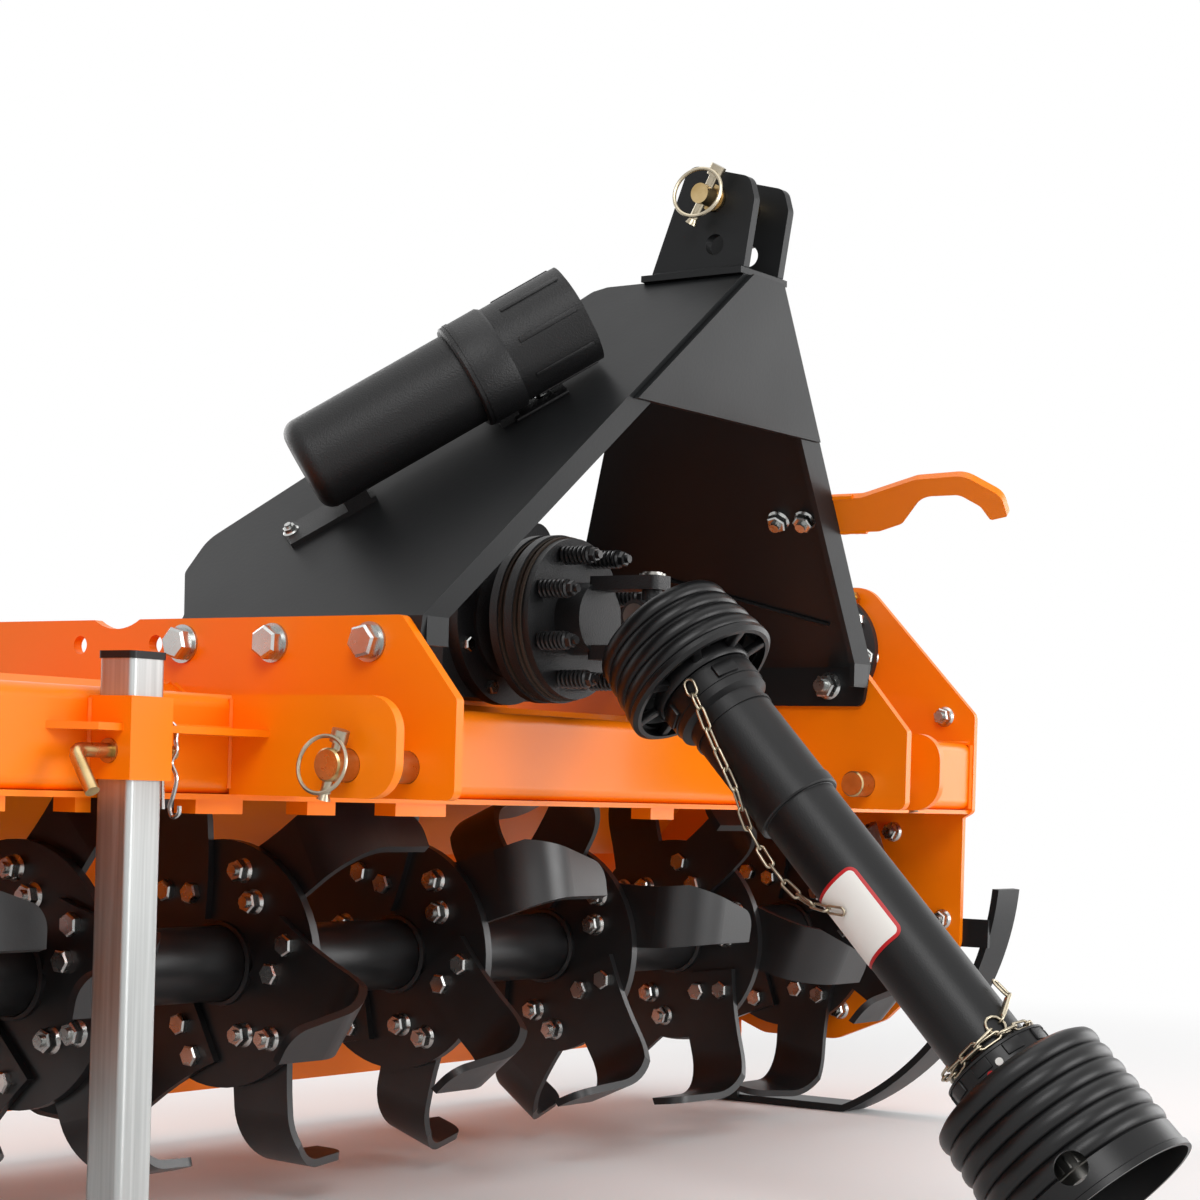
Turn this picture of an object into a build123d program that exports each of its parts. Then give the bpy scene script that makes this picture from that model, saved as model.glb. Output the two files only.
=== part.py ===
from build123d import *
import math
import os

# Rotavator carried on a tractor's three point hitch. Millimetres, +Z up, forward is -Y.
# The machine's left side, where the side drive is, is +X.
# Working datum: rotor axis at y = 0, floor at z = 0. The last section moves it all to the box centre.

# Rotor
rotor_z = 235.0
rotor_tube_r = 37.0
flange_pitch = 270.0
flange_count = 7
flange_r = 122.0
flange_t = 10.0
flange_turn = 17.0
tines_per_flange = 6
tine_tip_r = 222.0
tine_w = 70.0
tine_t = 8.0
tine_root_r = 62.0
tine_lead = 26.0
tine_rake = 28.0
tine_bend_r = 48.0
tine_foot = 62.0
tine_sweep = 18.0
tine_tip_round = 24.0
stub_r = 22.5
stub_fit = 0.05
tine_side_gap = 38.0

# Side plates
side_t = 8.0
side_bore_r = 45.0
cross_y = -22.0
cross_z = 606.0
side_top_r = 85.0
side_front = 245.0
side_lower_front = 232.0
side_rear = 272.0
side_low_z = 97.0

# Deck and front beam
deck_t = 5.0
deck_lip_z = 398.0
deck_top_z = 495.0
deck_rise_z = 425.0
deck_flat_front = -95.0
deck_flat_rear = 120.0
deck_rear_y = 250.0
deck_rear_z = 330.0
lip_tab_high = 12.0
lip_tabs = [(-790, -775), (-701, -684), (-563, -505), (-421, -383), (-298, -223), (126, 170)]
beam_front = 240.0
beam_deep = 60.0
beam_high = 85.0
beam_wall = 5.0
beam_corner = 12.0

# Lower hitch
hitch_x = -50.0
rail_in = 390.0
rail_t = 10.0
clevis_gap = 68.0
clevis_front = 422.0
clevis_bend_z = 488.0
rail_top_z = 560.0
rail_rear = 165.0
rail_end = 300.0
rail_slant = 62.0
hole_r = 8.5
hole_z = 537.0
notch_gap = 4.5
lower_pin_y = -370.0
lower_pin_z = 430.0
lower_pin_r = 14.0
lower_pin_out = 26.0
pin_fit = 0.3

# Headstock
hood_t = 6.0
hood_flange_z = 515.0
hood_top_z = 905.0
hood_top_half = 36.0
hood_front_low = 375.0
hood_front_top = 465.0
hood_lip = 30.0
hood_cover_z = 772.0
ear_t = 10.0
ear_gap = 52.0
upper_pin_r = 12.7
upper_pin_rise = 74.0
upper_spare_rise = 30.0
upper_spare_r = 10.0

# Gearbox and side drive
input_z = 585.0
gearbox_front = 160.0
gearbox_rear = 75.0
gearbox_half = 90.0
gearbox_low = 505.0
gearbox_high = 690.0
boss_deep = 14.0
boss_r = 86.0
cross_tube_r = 50.0
case_t = 72.0
case_top_r = 76.0
case_low_r = 96.0

# Slip clutch and driveline
clutch_y = -212.0
clutch_r = 84.0
clutch_disc_t = 9.0
joint_y = -347.0
shaft_drop = 46.3
cone_from = 15.0
cone_to = 92.0
cone_r = 80.0
cone_mouth_r = 66.0
guard_r = 38.0
guard_sleeve_r = 41.0
guard_step = 250.0
bell_from = 556.0
bell_rib_from = 582.0
bell_skirt_from = 688.0
bell_to = 718.0
bell_r = 90.0
bell_rib_r = 81.0
bell_neck_r = 47.0
bell_hole_r = 15.0
bell_hole_turn = 160.0
bell_hole_at = 688.0
rib_deep = 4.5
spoke_from = 52.0
spoke_to = 72.0
spoke_w = 9.0
plastic_wall = 4.0
pto_bore_r = 17.5
yoke_r = 31.0
trunnion_r = 10.0
arm_in = 21.0
arm_out = 30.0
hub_from = 48.0
tube_from = 70.0
yoke_end = 690.0

# Guard chains
link_long = 26.0
link_wide = 10.0
link_wire = 2.8
link_bite = 0.5

# Document tube and shaft hook
tube_r = 44.0
tube_long = 292.0
tube_off = 55.0
tube_start_y = 178.0
tube_start_up = 143.0
tube_turn = 49.2
tube_ring_at = 200.0
tube_bracket_w = 36.0
tube_low_round = 14.0
hook_t = 8.0

# Skids
skid_w = 60.0
skid_t = 9.0
skid_strap = 6.0
skid_reach = 274.0
skid_top_z = 303.0

# Parking stand
stand_side = 38.0
stand_wall = 3.0
stand_top = 510.0
stand_clear = 0.5
sleeve_wall = 4.0
sleeve_low = 413.0
sleeve_high = 480.0
gusset_z = 452.0
gusset_t = 6.0
gusset_deep = 44.0

# Rear gate
gate_hinge_y = 268.0
gate_hinge_z = 350.0
gate_t = 4.0
hinge_r = 10.0
hinge_fit = 0.1
gate_low = 55.0
gate_lug_y = 352.0
gate_lug_z = 180.0
rod_r = 7.0
rod_pin_r = 6.0
rod_guide_y = 245.0
rod_guide_z = 545.0

# Worked out from the sizes above
rotor_half = flange_pitch * (flange_count - 1) / 2
side_in = rotor_half + tine_side_gap
side_out = side_in + side_t
beam_low = deck_lip_z + deck_t
beam_top = beam_low + beam_high
upper_pin_y = 36.0 - hood_front_top
upper_pin_z = hood_top_z + upper_pin_rise
upper_spare_z = hood_top_z + upper_spare_rise
stand_x = 178.0 - side_in
nodes = {}


def keep(name, *shapes):
    nodes[name] = list(shapes)


def deck_rear_top(y):
    # Height of the deck's upper face on its rear slope
    slope = (deck_top_z - deck_rear_z) / (deck_rear_y - deck_flat_rear)
    return deck_top_z + deck_t * math.hypot(1, slope) - (y - deck_flat_rear) * slope


def prism_x(points, x_from, x_to):
    # Outline in (y, z), pushed along X
    face = make_face(Polyline(*[(0, y, z) for y, z in points], close=True))
    return Pos(x_from, 0, 0) * extrude(face, amount=x_to - x_from, dir=(1, 0, 0))


def prism_y(points, y_from, y_to):
    # Outline in (x, z), pushed along Y
    face = make_face(Polyline(*[(x, 0, z) for x, z in points], close=True))
    return Pos(0, y_from, 0) * extrude(face, amount=y_to - y_from, dir=(0, 1, 0))


def prism_z(points, z_from, z_to):
    # Outline in (x, y), pushed along Z
    face = make_face(Polyline(*[(x, y, 0) for x, y in points], close=True))
    return Pos(0, 0, z_from) * extrude(face, amount=z_to - z_from, dir=(0, 0, 1))


def rounded_prism_x(corners, x_from, x_to):
    # Each corner is (y, z, radius)
    points = [(0, y, z) for y, z, r in corners]
    path = FilletPolyline(*points, radius=[r for y, z, r in corners], close=True)
    return Pos(x_from, 0, 0) * extrude(make_face(path), amount=x_to - x_from, dir=(1, 0, 0))


def bar_x(r, x_from, x_to, y, z):
    middle = (x_from + x_to) / 2
    return Pos(middle, y, z) * Rot(0, 90, 0) * Cylinder(r, x_to - x_from)


def bar_y(r, y_from, y_to, x, z):
    middle = (y_from + y_to) / 2
    return Pos(x, middle, z) * Rot(90, 0, 0) * Cylinder(r, y_to - y_from)


def block(x_from, x_to, y_from, y_to, z_from, z_to):
    size = Box(x_to - x_from, y_to - y_from, z_to - z_from)
    return Pos((x_from + x_to) / 2, (y_from + y_to) / 2, (z_from + z_to) / 2) * size


def mirrored_x(shape, about=0.0):
    return mirror(shape, about=Plane((about, 0, 0), z_dir=(1, 0, 0)))


# Rotor shaft with its welded flanges and end stubs
def rotor_shaft():
    shaft = bar_x(rotor_tube_r, -side_in + 12, side_in - 12, 0, rotor_z)
    shaft += bar_x(stub_r, -side_out - 27, side_out + 40, 0, rotor_z)
    for index in range(flange_count):
        x = -rotor_half + index * flange_pitch
        shaft += bar_x(flange_r, x - flange_t / 2, x + flange_t / 2, 0, rotor_z)
    return shaft


# One bent blade on the side face of a flange at x = 0, its root pointing up from the rotor axis.
# The bent strip is cut by a curved side outline and by the outline of its foot.
def tine(side):
    rake = math.radians(tine_rake)
    along = Vector(0, -math.sin(rake), math.cos(rake))
    across = Vector(0, math.cos(rake), math.sin(rake))
    root = Vector(0, tine_lead, tine_root_r)
    half = tine_w / 2
    corner = root + across * (half + tine_sweep)
    b = along.dot(corner)
    c = corner.dot(corner) - tine_tip_r ** 2
    reach = -b + math.sqrt(b * b - c)
    outer_r = tine_bend_r + tine_t
    straight = reach - outer_r
    face_x = flange_t / 2
    inner = face_x + tine_t
    bend_x = inner + tine_bend_r
    tip_x = bend_x + tine_foot
    spare = 10
    far = tip_x + spare
    arc = math.sqrt(0.5)

    def at(up, out):
        return (up, side * out)

    strip = Wire([
        Line(at(0, face_x), at(straight, face_x)),
        ThreePointArc(
            at(straight, face_x), at(straight + outer_r * arc, bend_x - outer_r * arc), at(reach, bend_x),
        ),
        Line(at(reach, bend_x), at(reach, far)),
        Line(at(reach, far), at(reach - tine_t, far)),
        Line(at(reach - tine_t, far), at(reach - tine_t, bend_x)),
        ThreePointArc(
            at(reach - tine_t, bend_x),
            at(straight + tine_bend_r * arc, bend_x - tine_bend_r * arc),
            at(straight, inner),
        ),
        Line(at(straight, inner), at(0, inner)),
        Line(at(0, inner), at(0, face_x)),
    ])
    strip_plane = Plane(origin=root, x_dir=along, z_dir=across)
    blade = strip_plane.location * extrude(make_face(strip), amount=2 * tine_w, both=True)

    top = reach + spare
    outline = Wire([
        ThreePointArc((-spare, -half), (reach / 2, -half), (top, tine_sweep - half)),
        Line((top, tine_sweep - half), (top, tine_sweep + half)),
        ThreePointArc((top, tine_sweep + half), (reach / 2, half), (-spare, half)),
        Line((-spare, half), (-spare, -half)),
    ])
    outline_plane = Plane(origin=root, x_dir=along, z_dir=(-1, 0, 0))
    blade &= outline_plane.location * extrude(make_face(outline), amount=far + spare, both=True)

    low = -half - spare
    high = tine_sweep + half + spare
    foot = FilletPolyline(
        (-side * spare, low), (side * inner, low), (side * tip_x, tine_sweep - half + 4), (side * (tip_x - 5), high),
        (-side * spare, high),
        radius=[1, 20, tine_tip_round, 2, 1], close=True,
    )
    foot_plane = Plane(origin=root, x_dir=(1, 0, 0), z_dir=-along)
    return blade & foot_plane.location * extrude(make_face(foot), amount=top + spare, both=True)


def tines():
    left_hand = tine(1)
    right_hand = tine(-1)
    left_set = []
    right_set = []
    step = 360 / tines_per_flange
    for index in range(flange_count):
        x = -rotor_half + index * flange_pitch
        for blade in range(tines_per_flange):
            place = Pos(x, 0, rotor_z) * Rot(index * flange_turn + blade * step, 0, 0)
            inward_left = index == 0
            inward_right = index == flange_count - 1
            if inward_left or (blade % 2 == 0 and not inward_right):
                left_set.append(place * left_hand)
            else:
                right_set.append(place * right_hand)
    return left_set, right_set


keep("rotor_shaft", rotor_shaft())
left_blades, right_blades = tines()
keep("tines_left_hand", *left_blades)
keep("tines_right_hand", *right_blades)


# Side plates
def side_plate():
    corners = [
        (-side_front, beam_top + 36, 14),
        (cross_y - 63, cross_z + side_top_r, 45),
        (cross_y + 63, cross_z + side_top_r, 45),
        (deck_flat_rear + 35, deck_top_z + 12, 30),
        (side_rear, deck_rear_z + 25, 15),
        (side_rear, deck_rear_z - 35, 20),
        (215, 212, 30),
        (112, side_low_z + 22, 40),
        (55, side_low_z, 40),
        (-55, side_low_z, 40),
        (-128, side_low_z + 30, 30),
        (-side_lower_front, 225, 30),
        (-side_lower_front, beam_low - 10, 2),
        (-side_front, beam_low - 3, 8),
    ]
    plate = rounded_prism_x(corners, side_in, side_out)
    return plate - bar_x(side_bore_r, side_in - 1, side_out + 1, 0, rotor_z)


left_side = side_plate()
keep("side_plate_left", left_side)
keep("side_plate_right", mirrored_x(left_side))


# Folded deck over the rotor
def deck():
    t = deck_t
    rear_dy = deck_rear_y - deck_flat_rear
    rear_dz = deck_top_z - deck_rear_z
    rear_len = math.hypot(rear_dy, rear_dz)
    ny = rear_dz / rear_len
    nz = rear_dy / rear_len
    wall_y = -beam_front + beam_deep
    points = [
        (-beam_front, deck_lip_z),
        (wall_y + t, deck_lip_z),
        (wall_y + t, deck_rise_z),
        (deck_flat_front, deck_top_z),
        (deck_flat_rear, deck_top_z),
        (deck_rear_y, deck_rear_z),
        (deck_rear_y + t * ny, deck_rear_z + t * nz),
        (deck_flat_rear + t * 0.45, deck_top_z + t),
        (deck_flat_front - t * 0.4, deck_top_z + t),
        (wall_y, deck_rise_z + t * 0.45),
        (wall_y, deck_lip_z + t),
        (-beam_front, deck_lip_z + t),
    ]
    folded = prism_x(points, -side_in, side_in)
    for x_from, x_to in lip_tabs:
        folded += block(x_from, x_to, 30 - beam_front - 25, 30 - beam_front, deck_lip_z - lip_tab_high, deck_lip_z)
    return folded


def front_beam():
    profile = RectangleRounded(beam_deep, beam_high, beam_corner)
    profile -= RectangleRounded(beam_deep - 2 * beam_wall, beam_high - 2 * beam_wall, beam_corner - beam_wall)
    middle_y = -beam_front + beam_deep / 2
    place = Plane(origin=(-side_in, middle_y, beam_low + beam_high / 2), x_dir=(0, 1, 0), z_dir=(1, 0, 0))
    return extrude(place * profile, amount=2 * side_in)


keep("deck", deck())
keep("front_beam", front_beam())


# Rails that carry the headstock and the inner clevis walls
def hitch_rail(x_from):
    wall_y = -beam_front + beam_deep
    slope = (deck_top_z - deck_rise_z) / (deck_flat_front - wall_y)
    touch_y = deck_flat_front - (deck_top_z + deck_t - beam_top) / slope
    corners = [
        (-clevis_front, beam_low, 9),
        (-clevis_front, clevis_bend_z, 6),
        (-clevis_front + rail_slant, rail_top_z, 8),
        (rail_end, rail_top_z, 12),
        (rail_end, rail_top_z - 34, 10),
        (rail_rear, rail_top_z - 50, 20),
        (rail_rear, deck_rear_top(rail_rear) + 6, 3),
        (deck_flat_rear + 4, deck_top_z + deck_t, 1),
        (deck_flat_front - 4, deck_top_z + deck_t, 1),
        (touch_y - 4, beam_top, 1),
        (-beam_front, beam_top, 0.5),
        (-beam_front, beam_low, 1),
    ]
    rail = rounded_prism_x(corners, x_from, x_from + rail_t)
    rail -= bar_x(cross_tube_r + notch_gap, x_from - 1, x_from + rail_t + 1, cross_y, cross_z)
    for y in (-72, 25):
        rail -= bar_x(hole_r, x_from - 1, x_from + rail_t + 1, y, hole_z)
    return rail - bar_x(lower_pin_r + pin_fit, x_from - 1, x_from + rail_t + 1, lower_pin_y, lower_pin_z)


def clevis_plate(x_from):
    corners = [
        (-clevis_front, beam_low, 30),
        (-clevis_front, clevis_bend_z, 30),
        (-beam_front, clevis_bend_z, 0.5),
        (-beam_front, beam_low, 0.5),
    ]
    plate = rounded_prism_x(corners, x_from, x_from + rail_t)
    return plate - bar_x(lower_pin_r + pin_fit, x_from - 1, x_from + rail_t + 1, lower_pin_y, lower_pin_z)


right_rail_x = hitch_x - rail_in - rail_t
left_rail_x = hitch_x + rail_in
right_clevis_x = right_rail_x - clevis_gap - rail_t
left_clevis_x = left_rail_x + rail_t + clevis_gap
keep("hitch_rail_right", hitch_rail(right_rail_x))
keep("hitch_rail_left", hitch_rail(left_rail_x))
keep("clevis_plate_right", clevis_plate(right_clevis_x))
keep("clevis_plate_left", clevis_plate(left_clevis_x))


# Lower hitch pins, each through one clevis
def lower_pin(x_from, x_to):
    pin = bar_x(lower_pin_r, x_from, x_to, lower_pin_y, lower_pin_z)
    return chamfer(pin.edges().filter_by(GeomType.CIRCLE), 1.5)


keep("lower_pin_right", lower_pin(right_clevis_x - lower_pin_out, right_rail_x + rail_t + lower_pin_out))
keep("lower_pin_left", lower_pin(left_rail_x - lower_pin_out, left_clevis_x + rail_t + lower_pin_out))


# Headstock: two leaning side panels, a front cover and two ears
def hood_front_y(z):
    share = (z - rail_top_z) / (hood_top_z - rail_top_z)
    return -(hood_front_low + share * (hood_front_top - hood_front_low))


def hood_side():
    # The right panel, bent at the rail top and leaning in to the ears
    t = hood_t
    foot = hitch_x - rail_in
    top = hitch_x - hood_top_half
    lean = (top - foot) / (hood_top_z - rail_top_z)
    wide = t * math.hypot(1, lean)
    band = [
        (foot, hood_flange_z),
        (foot, rail_top_z),
        (top, hood_top_z),
        (top + wide, hood_top_z),
        (foot + t, rail_top_z - (wide - t) / lean),
        (foot + t, hood_flange_z),
    ]
    low_front = hood_front_y(rail_top_z)
    outline = [
        (low_front + 6, hood_flange_z, 10),
        (low_front, rail_top_z, 1),
        (hood_front_y(hood_top_z), hood_top_z, 1),
        (-352, hood_top_z + 12, 4),
        (-294, hood_top_z - 4, 8),
        (-44, 642, 18),
        (-49, 608, 10),
        (-94, 563, 10),
        (-94, hood_flange_z, 6),
    ]
    panel = rounded_prism_x(outline, foot - 5, top + 60) & prism_y(band, -600, 200)
    inner = [
        (foot + t, hood_flange_z + 20),
        (foot + t, rail_top_z),
        (top + wide, hood_top_z),
        (top + wide + hood_lip, hood_top_z),
        (foot + t + hood_lip, rail_top_z),
        (foot + t + hood_lip, hood_flange_z + 20),
    ]
    front = [
        (low_front, hood_flange_z + 20),
        (low_front, rail_top_z),
        (hood_front_y(hood_top_z), hood_top_z),
        (hood_front_y(hood_top_z) + t, hood_top_z),
        (low_front + t, rail_top_z),
        (low_front + t, hood_flange_z + 20),
    ]
    lip = prism_y(inner, -600, 0) & prism_x(front, foot, hitch_x - 1)
    return (panel + lip).clean()


def hood_cover():
    t = hood_t
    foot = hitch_x - rail_in
    top = hitch_x - hood_top_half
    lean = (top - foot) / (hood_top_z - rail_top_z)
    wide = t * math.hypot(1, lean)
    half_low = hitch_x - (foot + wide + (hood_cover_z - rail_top_z) * lean)
    half_top = hitch_x - (top + wide)
    face = [
        (hitch_x - half_low, hood_cover_z),
        (hitch_x - half_top, hood_top_z),
        (hitch_x + half_top, hood_top_z),
        (hitch_x + half_low, hood_cover_z),
    ]
    slab = [
        (hood_front_y(hood_cover_z) - t, hood_cover_z),
        (hood_front_y(hood_top_z) - t, hood_top_z),
        (hood_front_y(hood_top_z), hood_top_z),
        (hood_front_y(hood_cover_z), hood_cover_z),
    ]
    return prism_y(face, -600, 0) & prism_x(slab, hitch_x - 400, hitch_x + 400)


def hitch_ear(x_from):
    corners = [
        (upper_pin_y + 69, hood_top_z + hood_t, 2),
        (upper_pin_y - 35, hood_top_z + hood_t, 2),
        (upper_pin_y - 45, upper_pin_z - 4, 12),
        (upper_pin_y - 39, upper_pin_z + 17, 12),
        (upper_pin_y + 29, upper_pin_z + 35, 14),
    ]
    ear = rounded_prism_x(corners, x_from, x_from + ear_t)
    ear -= bar_x(upper_pin_r + pin_fit, x_from - 1, x_from + ear_t + 1, upper_pin_y, upper_pin_z)
    return ear - bar_x(upper_spare_r, x_from - 1, x_from + ear_t + 1, upper_pin_y - 2, upper_spare_z)


right_panel = hood_side()
keep("hood_side_right", right_panel)
left_panel = mirrored_x(right_panel, hitch_x)
left_panel -= bar_x(cross_tube_r + notch_gap, hitch_x, hitch_x + rail_in + 20, cross_y, cross_z)
keep("hood_side_left", left_panel)
keep("hood_cover", hood_cover())
right_ear_x = hitch_x - ear_gap / 2 - ear_t
left_ear_x = hitch_x + ear_gap / 2
keep("top_ears", hitch_ear(right_ear_x), hitch_ear(left_ear_x))
cap_front = hood_front_y(hood_top_z)
top_plate = block(hitch_x - 42, hitch_x + 42, cap_front, -352, hood_top_z, hood_top_z + hood_t)
keep("top_plate", top_plate)
upper_pin = bar_x(upper_pin_r, right_ear_x - 4, left_ear_x + ear_t + 12, upper_pin_y, upper_pin_z)
upper_pin += bar_x(9.5, right_ear_x - 26, right_ear_x, upper_pin_y, upper_pin_z)
keep("upper_pin", upper_pin)


# Gearbox, cross shaft housing and side gear case
def gearbox():
    body = block(hitch_x - gearbox_half, hitch_x + gearbox_half, -gearbox_front, gearbox_rear, gearbox_low, gearbox_high)
    body = fillet(body.edges().filter_by(Axis.Y), 26)
    body += bar_y(boss_r, -gearbox_front - boss_deep, -gearbox_front, hitch_x, input_z)
    body += bar_x(64, hitch_x + gearbox_half, hitch_x + gearbox_half + 22, cross_y, cross_z)
    return body


keep("gearbox", gearbox())
mount_plate = block(hitch_x - 110, hitch_x + 110, -92, deck_flat_rear - 6, deck_top_z + deck_t, gearbox_low)
keep("gearbox_plate", mount_plate)
keep("cross_housing", bar_x(cross_tube_r, hitch_x + gearbox_half + 22, side_in, cross_y, cross_z))


def gear_case():
    lean = math.atan2(-cross_y, cross_z - rotor_z)
    long = math.hypot(cross_y, cross_z - rotor_z)
    outline = [
        ThreePointArc((-case_top_r, 0, long), (0, 0, long + case_top_r), (case_top_r, 0, long)),
        Line((case_top_r, 0, long), (case_low_r, 0, 0)),
        ThreePointArc((case_low_r, 0, 0), (0, 0, -case_low_r), (-case_low_r, 0, 0)),
        Line((-case_low_r, 0, 0), (-case_top_r, 0, long)),
    ]
    case = extrude(make_face(Wire(outline)), amount=case_t, dir=(0, -1, 0))
    case = fillet(case.faces().sort_by(Axis.Y)[0].edges(), 12)
    turn = Rot(math.degrees(lean), 0, 0) * Rot(0, 0, 90)
    case = Pos(side_out, 0, rotor_z) * turn * case
    bore = bar_x(stub_r + stub_fit, side_out - 1, side_out + 45, 0, rotor_z)
    return case - bore


keep("gear_case", gear_case())
bearing = bar_x(62, -side_out - 34, -side_out, 0, rotor_z)
bearing -= bar_x(stub_r + stub_fit, -side_out - 32, -side_out + 1, 0, rotor_z)
keep("rotor_bearing", bearing)


# Slip clutch with the first yoke, on the input shaft
def clutch():
    y = clutch_y
    pack = bar_y(clutch_r, y - clutch_disc_t, y, hitch_x, input_z)
    pack += bar_y(clutch_r - 8, y - 18, y - clutch_disc_t, hitch_x, input_z)
    pack += bar_y(clutch_r, y - 27, y - 18, hitch_x, input_z)
    pack += bar_y(clutch_r - 8, y - 36, y - 27, hitch_x, input_z)
    pack += bar_y(clutch_r - 4, y - 44, y - 36, hitch_x, input_z)
    pack += bar_y(34, y, -gearbox_front - boss_deep - 5, hitch_x, input_z)
    pack += bar_y(17.5, y, -gearbox_front - boss_deep, hitch_x, input_z)
    return pack


def clutch_springs():
    springs = []
    count = 8
    for index in range(count):
        turn = math.radians(index * 360 / count + 22.5)
        x = hitch_x + 66 * math.cos(turn)
        z = input_z + 66 * math.sin(turn)
        springs.append(bar_y(9, clutch_y - 44 - 38, clutch_y - 44, x, z))
    return springs


def input_yoke():
    front = clutch_y - 44
    yoke = bar_y(36, front - 30, front, hitch_x, input_z)
    for side in (-1, 1):
        low = input_z + side * 34 - 7
        arm = block(hitch_x - 15, hitch_x + 15, joint_y - 14, front - 24, low, low + 14)
        yoke += fillet(arm.edges().filter_by(Axis.Z), 6)
    yoke += Pos(hitch_x, joint_y, input_z) * Cylinder(trunnion_r, 56)
    yoke += Pos(hitch_x, joint_y, input_z) * Box(30, 26, 30)
    return yoke + bar_x(trunnion_r, hitch_x - arm_out - 1, hitch_x + arm_out + 1, joint_y, input_z)


keep("clutch_pack", clutch())
keep("clutch_springs", *clutch_springs())
keep("input_yoke", input_yoke())

# Guarded driveline, hung from the universal joint and resting its bell on the floor
drop = math.radians(shaft_drop)
shaft_dir = (0, -math.cos(drop), -math.sin(drop))
shaft_plane = Plane(origin=(hitch_x, joint_y, input_z), x_dir=(1, 0, 0), z_dir=shaft_dir)


def turned(points):
    # Outline of (radius, distance) turned about the driveline axis
    face = make_face(Polyline(*[(r, 0, s) for r, s in points], close=True))
    return shaft_plane.location * revolve(face, axis=Axis.Z, revolution_arc=360)


def rib_points(r_from, r_to, s_from, s_to, ribs):
    # Crest and valley of each rib of a bellows wall
    points = []
    for index in range(ribs):
        for part, rise in ((0.0, 0), (0.55, rib_deep)):
            share = (index + part) / ribs
            r = r_from + (r_to - r_from) * share
            points.append((r + rise, s_from + (s_to - s_from) * share))
    return points


def shaft_yoke():
    # Fork that swings on the cross
    hub = turned([(0, hub_from), (28, hub_from), (28, tube_from), (0, tube_from)])
    for side in (-1, 1):
        middle = side * (arm_in + arm_out) / 2
        arm = Pos(middle, 0, hub_from / 2) * Box(arm_out - arm_in, 26, hub_from + 6)
        arm += Pos(middle, 0, 0) * Rot(0, 90, 0) * Cylinder(16, arm_out - arm_in)
        hub += shaft_plane.location * arm
    return hub - bar_x(trunnion_r + stub_fit, hitch_x - arm_out - 1, hitch_x + arm_out + 1, joint_y, input_z)


def guard_cone():
    # Ribbed cone with a spoked ring at its tube end
    base_at = cone_to - 10
    crest_r = cone_r - rib_deep
    outside = rib_points(cone_mouth_r, crest_r, cone_from, base_at, 4) + [(cone_r, base_at), (cone_r, cone_to - 4)]
    inside = [
        (46, cone_to), (44, cone_to), (44, base_at), (crest_r - plastic_wall, base_at),
        (cone_mouth_r - plastic_wall, cone_from),
    ]
    cone = turned(outside + inside)
    openings = Pos(0, 0, cone_to - 5) * (Cylinder(spoke_to, 20) - Cylinder(spoke_from, 20))
    for index in range(4):
        openings -= Pos(0, 0, cone_to - 5) * Rot(0, 0, index * 45 + 10) * Box(2 * cone_r, spoke_w, 30)
    return cone - shaft_plane.location * openings


def guard_tube():
    return turned([
        (0, tube_from), (30, tube_from), (30, cone_to - 10), (44, cone_to - 10), (44, cone_to + 2), (48, cone_to + 4),
        (48, cone_to + 34), (guard_sleeve_r, cone_to + 38), (guard_sleeve_r, guard_step),
        (guard_r, guard_step + 3), (guard_r, bell_from - 6), (bell_neck_r - 4, bell_from),
        (bell_neck_r - 4, bell_from + 26), (30, bell_from + 30), (0, bell_from + 30),
    ])


def guard_bell():
    # Shoulder, bellows and plain skirt, with a hole to reach the yoke's lock
    shoulder = [(bell_neck_r, bell_from), (bell_neck_r + 16, bell_from + 10), (bell_rib_r - 6, bell_rib_from - 6)]
    ribs = rib_points(bell_rib_r, bell_r - rib_deep, bell_rib_from, bell_skirt_from, 6)
    skirt = [(bell_r - 2, bell_skirt_from), (bell_r, bell_to)]
    inside = [
        (bell_r - plastic_wall, bell_to), (bell_r - 2 - plastic_wall, bell_skirt_from),
        (bell_rib_r - plastic_wall, bell_rib_from), (bell_neck_r - 4, bell_from + 6), (bell_neck_r - 4, bell_from),
    ]
    bell = turned(shoulder + ribs + skirt + inside)
    hole = Rot(0, 0, bell_hole_turn) * Pos(bell_r - 10, 0, bell_hole_at) * Rot(0, 90, 0) * Cylinder(bell_hole_r, 60)
    return bell - shaft_plane.location * hole


def end_yoke():
    yoke = turned([
        (pto_bore_r, yoke_end), (pto_bore_r, yoke_end - 62), (0, yoke_end - 62), (0, bell_from + 30),
        (28, bell_from + 30), (28, yoke_end - 62), (yoke_r, yoke_end - 58), (yoke_r, yoke_end),
    ])
    return yoke


keep("shaft_yoke", shaft_yoke())
keep("guard_cone", guard_cone())
keep("guard_tube", guard_tube())
keep("guard_bell", guard_bell())
keep("end_yoke", end_yoke())


# Guard chains, each link biting into the next. A spot is (distance, turn, radius) about the driveline.
def link(long, wide):
    outer = chamfer(Rectangle(long, wide).vertices(), wide * 0.3)
    hole_long = long - 2 * link_wire
    hole_wide = wide - 2 * link_wire
    ring = outer - chamfer(Rectangle(hole_long, hole_wide).vertices(), hole_wide * 0.3)
    return extrude(ring, amount=link_wire / 2, both=True)


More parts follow.
